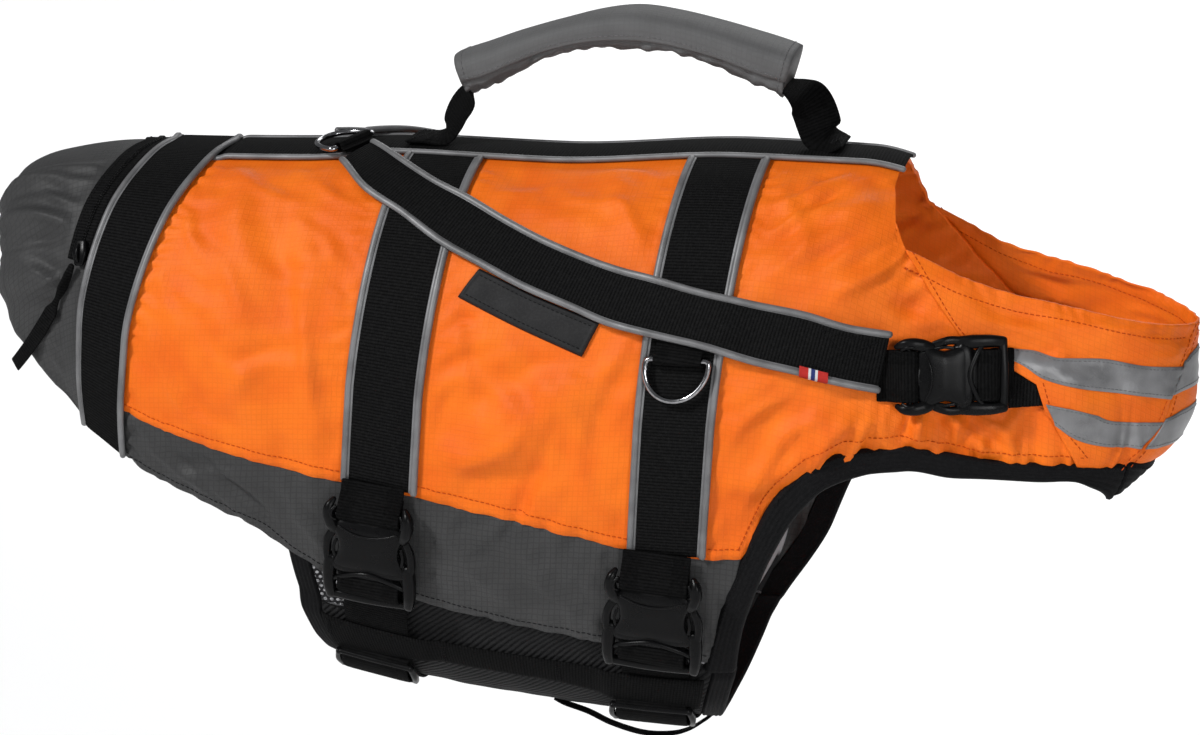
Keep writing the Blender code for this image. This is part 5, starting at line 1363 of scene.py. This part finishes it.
def ring_and_keeper(kit, node, owner, keeper, centre, across, down, half_width, width, reach):
    """A wire ring hanging down from its bar, and the webbing keeper that is folded round the bar."""
    flat = ring_path(half_width, 23.0)
    path = centre + flat[:, :1] * across + flat[:, 1:] * down
    add(node + "_wire", sweep(path, np.cross(across, down), 1.6, 1.6, 1.0, 14, closed=True),
        kit["polished steel"], [node], owner)
    inward, outward_ = -down, np.cross(across, down)
    if outward_[2] < 0 or (abs(outward_[2]) < 0.5 and outward_[1] * centre[1] < 0):
        outward_ = -outward_
    radius = 1.6 + 0.5 + 0.6
    lower = 1.2 + 0.4 - radius
    turns = np.radians(np.linspace(262.0, 90.0, 9))
    line = [(reach, -radius), (radius * 0.8, -radius)] + [(radius * np.cos(t), radius * np.sin(t)) for t in turns]
    line += [(radius * 0.8, radius * 0.9), (reach * 0.6, lower), (reach, lower)]
    line = curve(line, 60)
    points = centre + line[:, :1] * inward + line[:, 1:] * outward_
    add(keeper + "_loop", sweep(points, across, width / 2.0, 0.6, 0.5, 20), kit["black webbing"], [keeper])


def ring_set(kit):
    """The ring on the spine lies askew and flat, and the two at the sides hang down."""
    yaw, roll, drop = np.radians((30.0, 9.0, 2.0))
    bar = np.array((np.sin(yaw) * np.cos(roll), np.cos(yaw) * np.cos(roll), np.sin(roll)))
    down = np.array((-np.cos(yaw), np.sin(yaw), -np.sin(drop)))
    down = unit(down - bar * down.dot(bar))
    ring_and_keeper(kit, "spine_ring", "spine_ring", "spine_ring_keeper", np.array((-116.3, -23.0, 11.4)), bar,
                    down, 17.0, 25.0, 5.5)
    for side, tag in SIDES:
        point, ahead, down, normal = axes_at(103.0, 74.7, side)
        ring_and_keeper(kit, f"side_ring_{tag}", f"side_ring_{tag}", f"side_ring_keeper_{tag}",
                        point + normal * 6.6, ahead, down, 18.0, 27.0, 12.0)


# ---------------------------------------------------------------- buckles
def on_form(run, angle, out, side, turn=0.0):
    """What lays parts made about (across, down, up from the middle) on the form at a place, turned."""
    point, _, around, normal = axes_at(run, angle, side)
    across = unit(np.cross(-around, normal))
    up = np.cross(normal, across)
    c, s = np.cos(np.radians(turn)), np.sin(np.radians(turn))
    axes = np.stack([across * c + up * s, across * s - up * c, normal])

    def lay(parts):
        placed = [(point + normal * out + points @ axes, quads, uv) for points, quads, uv in parts]
        return [(points, outward(points, quads), uv) for points, quads, uv in placed]
    return lay


def mirror_x(part):
    """The same part on the other side of its middle line."""
    points, quads, uv = part
    return points * (-1, 1, 1), quads[:, ::-1], uv


def moulded(rows, power=0.45, sides=20):
    """A moulded body down its middle line: rows of (down, half width, half height, up)."""
    table = curve(np.array(rows, float), 38)
    path = np.stack([0 * table[:, 0], table[:, 0], table[:, 3]], -1)
    return sweep(path, (1, 0, 0), table[:, 1], table[:, 2], power, sides)


BAR_STEPS = 28


def bar_part(points, wide, high):
    """A moulded bar through the points."""
    return sweep(curve(points, BAR_STEPS), (0, 0, 1), wide, high, 0.7, 12)


def swelling(*values):
    """Half widths or heights along a bar: straight lines between values at even steps."""
    return np.interp(np.linspace(0.0, 1.0, BAR_STEPS), np.linspace(0.0, 1.0, len(values)), values)


def buckle_parts(w, a, b):
    """The socket with its ears, the plug with its bar and arms, and the webbing folded on both.

    w is half the width, a and b are the ends along it. The rows of near and far hold a share of w, the
    distance in from that end and the height. The socket narrows to a waist between the plug's arms, and
    the plug's lip arches over its webbing.
    """
    def near(*rows):
        return [(share * w, a + away, up) for share, away, up in rows]

    def far(*rows):
        return [(share * w, b - away, up) for share, away, up in rows]

    r = w / 28.0
    ear = bar_part(near((0.72, 20, 0.6), (0.80, 15, 1.6), (0.845, 9, 2.0), (0.83, 4, 1.3), (0.77, 1.0, -0.6)),
                   r * swelling(2.6, 3.7, 4.0, 3.6, 2.0), swelling(3.0, 3.5, 3.4, 2.9, 1.6))
    eye = bar_part(near((0.70, 12, 2.6), (0.76, 9.5, 4.6), (0.76, 6.0, 4.3), (0.70, 3.5, 2.4)), 0.8, 0.9)
    waist = [(a + 12, 0.60 * w, 2.2, -0.8), (a + 15.5, 0.79 * w, 3.3, -0.2), (a + 19, 0.75 * w, 4.1, 0.3),
             (a + 25, 0.665 * w, 4.4, 0.5), (b - 34, 0.655 * w, 4.4, 0.5), (b - 28, 0.74 * w, 4.4, 0.4),
             (b - 24, 0.80 * w, 4.0, 0.1), (b - 21, 0.72 * w, 3.2, -0.2)]
    brow = near((-0.62, 15.8, 2.9), (-0.3, 18.6, 4.4), (0, 19.6, 4.7), (0.3, 18.6, 4.4), (0.62, 15.8, 2.9))
    socket = [moulded(waist), bar_part(brow, 0.8, 0.7),
              bar_part(near((-0.8, 7.5, -0.6), (0, 7.5, -0.6), (0.8, 7.5, -0.6)), 1.6, 1.8),
              bar_part(near((-0.44, 15.0, 0.6), (0, 12.4, 1.6), (0.44, 15.0, 0.6)), 0.9, 1.3),
              ear, mirror_x(ear), eye, mirror_x(eye)]
    arm = bar_part(far((0.88, 24, 0.2), (0.91, 31, 0.8)) + near((0.88, 27, 1.2), (0.79, 21.5, 1.0)),
                   r * swelling(3.2, 2.4, 2.0, 1.2), 2.4)
    catch = bar_part(far((0.70, 40, 1.6), (0.745, 35, 2.8), (0.72, 30, 2.6)), 0.7, 0.9)
    cheek = bar_part(far((0.84, 27, 0.2), (0.86, 19, 0.6), (0.865, 9, 0.4), (0.84, 2.5, -0.4)),
                     r * swelling(3.2, 4.0, 4.1, 3.8, 3.0), swelling(3.6, 3.9, 3.6, 3.0))
    arch = bar_part(far((-0.80, 13.5, 1.2), (-0.5, 17.8, 3.1), (0, 21.4, 4.1), (0.5, 17.8, 3.1), (0.80, 13.5, 1.2)),
                    1.5, 1.4)
    roof = moulded(((b - 28, 0.80 * w, 3.2, 0.0), (b - 25, 0.88 * w, 3.9, 0.2), (b - 21, 0.80 * w, 3.6, 0.4),
                    (b - 18.5, 0.5 * w, 2.6, 0.8)), 0.5)
    foot = bar_part(far((-0.86, 2.8, -0.8), (0, 2.2, -0.2), (0.86, 2.8, -0.8)), 2.4, 2.6)
    plug = [arm, mirror_x(arm), catch, mirror_x(catch), cheek, mirror_x(cheek), arch, roof, foot]
    half = 0.67 * w
    top = near((0, -9, -6.4), (0, -4, -5.0), (0, 1, -0.8), (0, 5, 2.3), (0, 8.4, 3.2), (0, 11.0, 2.4),
               (0, 11.9, 0.2), (0, 10, -2.2), (0, 5, -3.4), (0, -2, -5.6))
    turns = np.radians(np.linspace(75.0, -150.0, 10))
    low = far((0, -3, -4.6), (0, 3, -3.6), *[(0, 11.4 + 7.2 * np.sin(t), -1.2 + 5.2 * np.cos(t)) for t in turns])
    folded = [sweep(curve(top, 64), (1, 0, 0), half, 1.0, 0.4, 20),
              sweep(curve(low, 64), (1, 0.06, 0), half * 0.98, 1.0, 0.4, 20)]
    return socket, plug, folded


def buckles(kit):
    """Side-release buckles at the ends of the bands and straps."""
    for name, run, angle, out, width, length, turn in (
            ("mid_buckle", -68.0, 117.5, 3.4, 56.0, 66.0, 0.0),
            ("front_buckle", 101.0, 122.5, 3.4, 58.0, 66.0, 0.0),
            ("shoulder_buckle", 242.0, 76.5, 5.6, 43.0, 62.0, 96.0)):
        for side, tag in SIDES:
            lay = on_form(run, angle, out + 4.25, side, -side * turn)
            socket, plug, folded = [lay(parts) for parts in buckle_parts(width / 2, -length / 2, length / 2)]
            add(f"{name}_{tag}_female", socket, kit["black plastic"],
                stands_for=[f"{name}_{tag}_socket"])
            add(f"{name}_{tag}_male", plug, kit["black plastic"],
                stands_for=[f"{name}_{tag}_plug"])
            add(f"{name}_{tag}_webbing", folded, kit["belt webbing"])


def slide_adjusters(kit):
    """Slide adjusters on the belts: a round-cornered frame with the webbing humped over its bar."""
    for side, tag in SIDES:
        for name, centre in BELTS:
            lay = on_form(centre - 3.0, 155.8, 3.9 + 1.8, side)
            frame_ = bar_part([(-22.6, -9.6, 0), (0, -9.8, 0.3), (22.6, -9.6, 0)], 1.8, 1.7)
            low = bar_part([(-22.6, 9.6, 0), (0, 9.8, 0.3), (22.6, 9.6, 0)], 1.8, 1.7)
            post = bar_part([(22.4, -9.6, 0), (23.6, 0, 0.9), (22.4, 9.6, 0)], 2.2, 1.8)
            hump = ((-13, -4.2), (-11.4, -1.6), (-7.4, 2.2), (0, 3.3), (7.4, 2.2), (11.4, -1.6), (13, -4.2))
            strap = sweep(curve([(0, y, z) for y, z in hump], 44), (1, 0, 0), 20.6, 1.0, 0.4, 20)
            add(f"{name}_adjuster_{tag}", lay((frame_, low, post, mirror_x(post))), kit["black plastic"],
                stands_for=[f"{name}_triglide_{tag}"])
            add(f"{name}_adjuster_webbing_{tag}", lay([strap]), kit["belt webbing"])


# ---------------------------------------------------------------- zip, patch and tag
def rump_zip(kit):
    """Zip behind the rear band: tape, two rows of coil teeth, a slider and a ribbon to pull it by."""
    angles = np.linspace(-69.0, 69.0, 25)
    edge = through_line(REAR_JOIN, np.abs(angles)) - REAR_BAND_HALF - 0.5
    a, b = tuple(zip(edge, angles)), tuple(zip(edge - 16.5, angles))
    low = lambda run, angle: skin(run, angle, -1) * 0.3 + 0.35
    face = raised(low, 0.95)
    add("zip_cloth", tape(a, b, 160, 8, low, face, -1, 0.1),
        kit["black webbing"], stands_for=["zip_tape"])
    teeth = [seam_stitches(shifted_between(a, b, share), (0, 0), -1, raised(face, 0.2), pitch=1.7, length=1.5,
                           radius=0.55, zigzag=1.2) for share in (0.42, 0.5)]
    add("zip_teeth", teeth, kit["black plastic"])
    rows = [seam_stitches(shifted_between(a, b, share), (0, 0), -1, face, pitch=3.0, length=1.8, radius=0.25)
            for share in (0.14, 0.86)]
    add("zip_stitches", rows, kit["black thread"])
    lay = on_form(-263.5, 66.0, 1.8 + 1.5, -1)
    slider = [moulded(((-6, 3.6, 1.5, 0), (0, 4.6, 1.9, 0.2), (6.5, 3.0, 1.4, 0)), 0.6, 20),
              bar_part([(0, -4, 1.6), (0, -1, 3.2), (0, 3, 3.2), (0, 5, 1.6)], 1.1, 0.8)]
    add("zip_slider_body", lay(slider), kit["black plastic"], stands_for=["zip_slider"])
    start = place(-268.0, 71.5, 5.0).reshape(3)
    end = place(-318.0, 110.5, 5.5).reshape(3)
    bulge = place(-293.0, 92.0, 3.6).reshape(3)
    t = np.linspace(0.0, 1.0, 60)[:, None]
    path = start * (1 - t) * (1 - 2 * t) + bulge * 4 * t * (1 - t) + end * t * (2 * t - 1)
    normal = axes_at(-293.0, 92.0, -1)[3]
    wide = unit(np.cross(end - start, normal))
    t_ = np.linspace(0.0, 1.0, 60)
    half = np.interp(t_, (0, 0.08, 0.2, 0.3, 0.36, 0.42, 1), (1.6, 2.6, 3.0, 1.6, 2.2, 4.3, 4.3))
    turn = np.radians(np.interp(t_, (0, 0.1, 0.3, 0.42, 0.6, 1), (0, 70, 40, 0, 6, -8)))[:, None]
    lean = wide * np.cos(turn) + normal * np.sin(turn)
    thick = np.interp(t_, (0, 0.3, 0.36, 0.42, 1), (1.3, 1.2, 1.1, 0.8, 0.7))
    ribbon = sweep(path, lean, half, thick, 0.5, 20)
    fold_edge = stitches(path[27:30].mean(0) + np.linspace(-3.6, 3.6, 8)[:, None] * wide + normal * 1.0,
                         np.broadcast_to(normal, (8, 3)), 1.6, 1.3, 0.22)
    add("zip_ribbon", [ribbon, fold_edge], kit["black webbing"], ["zip_pull"], owner="zip_pull")


def patch_and_tag(kit):
    """A bare rubber patch with a raised rim, sewn on the right side, and a striped tag on the strap."""
    upper, lower = ((-20, 55.4), (16, 61.6), (54, 67.2)), ((-29, 63.4), (10, 69.8), (47, 75.2))
    def rim(run, angle, w, t):
        edge = np.minimum(np.minimum(w, 1 - w) * 15.0, np.minimum(t, 1 - t) * 76.0)
        return 0.5 * smooth(edge, 0.2, 0.7) * (1 - smooth(edge, 1.3, 1.8)) - 0.5 * (1 - smooth(edge, 0.0, 0.5))
    low = on_side(skin, -1, LIFT)
    add("side_label", tape(upper, lower, 96, 26, low, raised(low, 1.9), -1, 0.3, rim),
        kit["patch rubber"], stands_for=["side_patch"])
    lines = [seam_stitches(shifted_between(upper, lower, share), (0, 0), -1, raised(low, 1.95), pitch=2.8, length=1.9,
                           radius=0.22, start=0.03, stop=0.97) for share in (0.16, 0.84)]
    add("side_label_stitches", lines, kit["black thread"])
    a, b = ((168, 74.9), (182.5, 76.3)), ((168.4, 77.3), (182.9, 78.7))
    run, angle, w, t = lines_grid(a, b, 30, 20)
    over = np.interp(w, (0, 0.3, 0.6, 0.8, 0.92, 1), (8.6, 9.1, 9.2, 8.5, 7.2, 5.8))
    outer = place(run, angle, over + 0.5, -1)
    part = shell(outer, place(run, angle, over, -1), np.stack([w * 0.005, t], -1))
    add("flag_tag_cloth", part, kit["striped tag"], stands_for=["flag_tag"])


# ---------------------------------------------------------------- stage
LOOK_AT = (0.0237, 0.0, -0.121)  # metres, as all of the stage
BACKDROP = (0.0, 3.4)
FLOOR_HALF = 9.0
LAMPS = (  # name, place, size across and power in watts
    ("left softbox", (-0.95, -1.3, 0.75), 0.6, 5.5), ("right softbox", (1.25, -1.9, 0.3), 0.7, 15.0),
    ("front softbox", (0.9, -2.7, 0.35), 0.9, 3.0), ("back softbox", (0.9, 1.9, 1.1), 1.1, 8.0),
    ("backdrop light", (0.0, 4.0, 2.4), 3.0, 75.0),
)
SUN_PLACE, SUN_WIDTH = (-1.5, -1.8, 1.75), 9.0
CAMERA_TURN, CAMERA_RISE, CAMERA_AWAY, CAMERA_LENS = 12.0, 14.0, 2.4, 124.14  # degrees, degrees, m, mm


def aim(made, target):
    """Turns a lamp towards a place."""
    made.rotation_euler = (Vector(target) - made.location).to_track_quat("-Z", "Y").to_euler()


def studio(stage):
    """Pale floor far below the jacket, a large soft key light, two fills and a long camera."""
    data = bpy.data.meshes.new("floor")
    height = stage.floor_height
    data.from_pydata([(x * FLOOR_HALF, y * FLOOR_HALF, height) for x, y in ((-1, -1), (1, -1), (1, 1), (-1, 1))],
                     [], [(0, 1, 2, 3)])
    floor = bpy.data.objects.new("floor", data)
    bpy.context.scene.collection.objects.link(floor)
    data.materials.append(Finish("pale floor", (0.93, 0.93, 0.93), 0.9).made)
    lamps = []
    for name, stands, size, power in LAMPS:
        lamp = bpy.data.lights.new(name, "AREA")
        lamp.shape, lamp.size, lamp.energy = "DISK", size, power
        lamps.append((lamp, stands))
    sun = bpy.data.lights.new("high key", "SUN")
    sun.energy, sun.angle = stage.key_power, np.radians(SUN_WIDTH)
    for lamp, stands in lamps + [(sun, SUN_PLACE)]:
        made = bpy.data.objects.new(lamp.name, lamp)
        made.location = stands
        bpy.context.scene.collection.objects.link(made)
        aim(made, (*BACKDROP, height) if lamp.name == "backdrop light" else LOOK_AT)
    world = bpy.data.worlds.new("studio air")
    world.use_nodes = True
    back = world.node_tree.nodes["Background"]
    back.inputs["Color"].default_value = (0.95, 0.97, 1.0, 1.0)
    back.inputs["Strength"].default_value = stage.air
    bpy.context.scene.world = world
    camera = bpy.data.cameras.new("camera")
    camera.lens, camera.sensor_width = CAMERA_LENS, 36.0
    camera.clip_end = 50.0
    made = bpy.data.objects.new("camera", camera)
    turn, rise = np.radians(CAMERA_TURN), np.radians(CAMERA_RISE)
    outwards = Vector((np.sin(turn) * np.cos(rise), -np.cos(turn) * np.cos(rise), np.sin(rise)))
    made.location = Vector(LOOK_AT) + outwards * CAMERA_AWAY
    made.rotation_euler = outwards.to_track_quat("Z", "Y").to_euler()
    bpy.context.scene.collection.objects.link(made)
    bpy.context.scene.camera = made
    bpy.context.scene.view_settings.view_transform = "Standard"


# ---------------------------------------------------------------- settings and operators
class JacketColours(bpy.types.PropertyGroup):
    """Colours of the cloth, webbing and piping."""
    orange: bpy.props.FloatVectorProperty(name="Orange", description="Cloth of the sides and collar",
                                          default=(0.69, 0.136, 0.006), min=0, max=1, subtype="COLOR")
    grey: bpy.props.FloatVectorProperty(name="Grey", description="Cloth of the flanks and rump",
                                        default=(0.038, 0.038, 0.0385), min=0, max=1, subtype="COLOR")
    webbing: bpy.props.FloatVectorProperty(name="Webbing", description="Bands, straps and belts",
                                           default=(0.0028, 0.0028, 0.003), min=0, max=1, subtype="COLOR")
    piping: bpy.props.FloatVectorProperty(name="Piping", description="Reflective piping and tapes",
                                          default=(0.145, 0.145, 0.149), min=0, max=1, subtype="COLOR")


class StageSettings(bpy.types.PropertyGroup):
    """Floor and light of the stage."""
    floor_height: bpy.props.FloatProperty(name="Floor", description="Height of the floor", default=-0.62,
                                          unit="LENGTH")
    key_power: bpy.props.FloatProperty(name="Key light", description="Power of the key light", default=2.8,
                                       min=0)
    air: bpy.props.FloatProperty(name="Air", description="Strength of the light from all round", default=0.18,
                                 min=0)


def built(pieces, context):
    """Makes some pieces in the jacket's finishes."""
    pieces(finishes(context.scene.jacket_colours))
    return {"FINISHED"}


class JACKET_OT_side_panels(bpy.types.Operator):
    """Padded orange sides with their stitching"""
    bl_idname = "jacket.side_panels"
    bl_label = "Side panels"

    def execute(self, context):
        return built(side_panels, context)


class JACKET_OT_flank_panels(bpy.types.Operator):
    """Grey flanks below the seam"""
    bl_idname = "jacket.flank_panels"
    bl_label = "Flanks"

    def execute(self, context):
        return built(flank_panels, context)


class JACKET_OT_rump_hood(bpy.types.Operator):
    """Grey hood over the rump"""
    bl_idname = "jacket.rump_hood"
    bl_label = "Rump"

    def execute(self, context):
        return built(rump_hood, context)


class JACKET_OT_chest_collars(bpy.types.Operator):
    """Both sides of the chest collar"""
    bl_idname = "jacket.chest_collars"
    bl_label = "Collar"

    def execute(self, context):
        return built(chest_collars, context)


class JACKET_OT_belly_pad(bpy.types.Operator):
    """Mesh pad under the belly"""
    bl_idname = "jacket.belly_pad"
    bl_label = "Belly pad"

    def execute(self, context):
        return built(belly_pad, context)


class JACKET_OT_bands(bpy.types.Operator):
    """Webbing bands with piping"""
    bl_idname = "jacket.bands"
    bl_label = "Bands"

    def execute(self, context):
        return built(bands, context)


class JACKET_OT_shoulder_straps(bpy.types.Operator):
    """Straps from the spine to the shoulder buckles"""
    bl_idname = "jacket.shoulder_straps"
    bl_label = "Shoulder straps"

    def execute(self, context):
        return built(shoulder_straps, context)


class JACKET_OT_collar_tapes(bpy.types.Operator):
    """Reflective tapes round the collar"""
    bl_idname = "jacket.collar_tapes"
    bl_label = "Collar tapes"

    def execute(self, context):
        return built(collar_tapes, context)


class JACKET_OT_edge_bindings(bpy.types.Operator):
    """Ribbed elastic round the edges"""
    bl_idname = "jacket.edge_bindings"
    bl_label = "Bindings"

    def execute(self, context):
        return built(edge_bindings, context)


class JACKET_OT_belly_webbing(bpy.types.Operator):
    """Belts and runners under the belly"""
    bl_idname = "jacket.belly_webbing"
    bl_label = "Belly webbing"

    def execute(self, context):
        return built(belly_webbing, context)


class JACKET_OT_carrying_handle(bpy.types.Operator):
    """Padded handle on the back"""
    bl_idname = "jacket.carrying_handle"
    bl_label = "Handle"

    def execute(self, context):
        return built(carrying_handle, context)


class JACKET_OT_ring_set(bpy.types.Operator):
    """Three D-rings and their keepers"""
    bl_idname = "jacket.ring_set"
    bl_label = "Rings"

    def execute(self, context):
        return built(ring_set, context)


class JACKET_OT_buckles(bpy.types.Operator):
    """Six side-release buckles"""
    bl_idname = "jacket.buckles"
    bl_label = "Buckles"

    def execute(self, context):
        return built(buckles, context)


class JACKET_OT_slide_adjusters(bpy.types.Operator):
    """Four slide adjusters on the belts"""
    bl_idname = "jacket.slide_adjusters"
    bl_label = "Slide adjusters"

    def execute(self, context):
        return built(slide_adjusters, context)


class JACKET_OT_rump_zip(bpy.types.Operator):
    """Zip behind the rear band"""
    bl_idname = "jacket.rump_zip"
    bl_label = "Zip"

    def execute(self, context):
        return built(rump_zip, context)


class JACKET_OT_patch_and_tag(bpy.types.Operator):
    """Bare rubber patch and striped tag"""
    bl_idname = "jacket.patch_and_tag"
    bl_label = "Patch and tag"

    def execute(self, context):
        return built(patch_and_tag, context)


class JACKET_OT_stage(bpy.types.Operator):
    """Floor, lights and camera"""
    bl_idname = "jacket.stage"
    bl_label = "Stage"

    def execute(self, context):
        studio(context.scene.jacket_stage)
        return {"FINISHED"}


class JACKET_PT_panel(bpy.types.Panel):
    """Lists the jacket's settings and pieces"""
    bl_label = "Life jacket"
    bl_idname = "JACKET_PT_panel"
    bl_space_type = "VIEW_3D"
    bl_region_type = "UI"
    bl_category = "Life jacket"

    def draw(self, context):
        for settings in (context.scene.jacket_colours, context.scene.jacket_stage):
            for name in settings.__annotations__:
                self.layout.prop(settings, name)
        for made in OPERATORS:
            self.layout.operator(made.bl_idname)


OPERATORS = (
    JACKET_OT_side_panels, JACKET_OT_flank_panels, JACKET_OT_rump_hood, JACKET_OT_chest_collars,
    JACKET_OT_belly_pad, JACKET_OT_bands, JACKET_OT_shoulder_straps, JACKET_OT_collar_tapes,
    JACKET_OT_edge_bindings, JACKET_OT_belly_webbing, JACKET_OT_carrying_handle, JACKET_OT_ring_set,
    JACKET_OT_buckles, JACKET_OT_slide_adjusters, JACKET_OT_rump_zip, JACKET_OT_patch_and_tag,
    JACKET_OT_stage,
)
CLASSES = (JacketColours, StageSettings, *OPERATORS, JACKET_PT_panel)


def register():
    """Adds the classes and the settings."""
    for made in CLASSES:
        bpy.utils.register_class(made)
    bpy.types.Scene.jacket_colours = bpy.props.PointerProperty(type=JacketColours)
    bpy.types.Scene.jacket_stage = bpy.props.PointerProperty(type=StageSettings)


def unregister():
    """Takes the settings and the classes away again."""
    del bpy.types.Scene.jacket_colours
    del bpy.types.Scene.jacket_stage
    for made in reversed(CLASSES):
        bpy.utils.unregister_class(made)


def main():
    """Builds everything."""
    register()
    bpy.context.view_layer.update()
    for made in OPERATORS:
        getattr(bpy.ops.jacket, made.bl_idname.split(".")[1])()


if __name__ == "__main__":
    main()
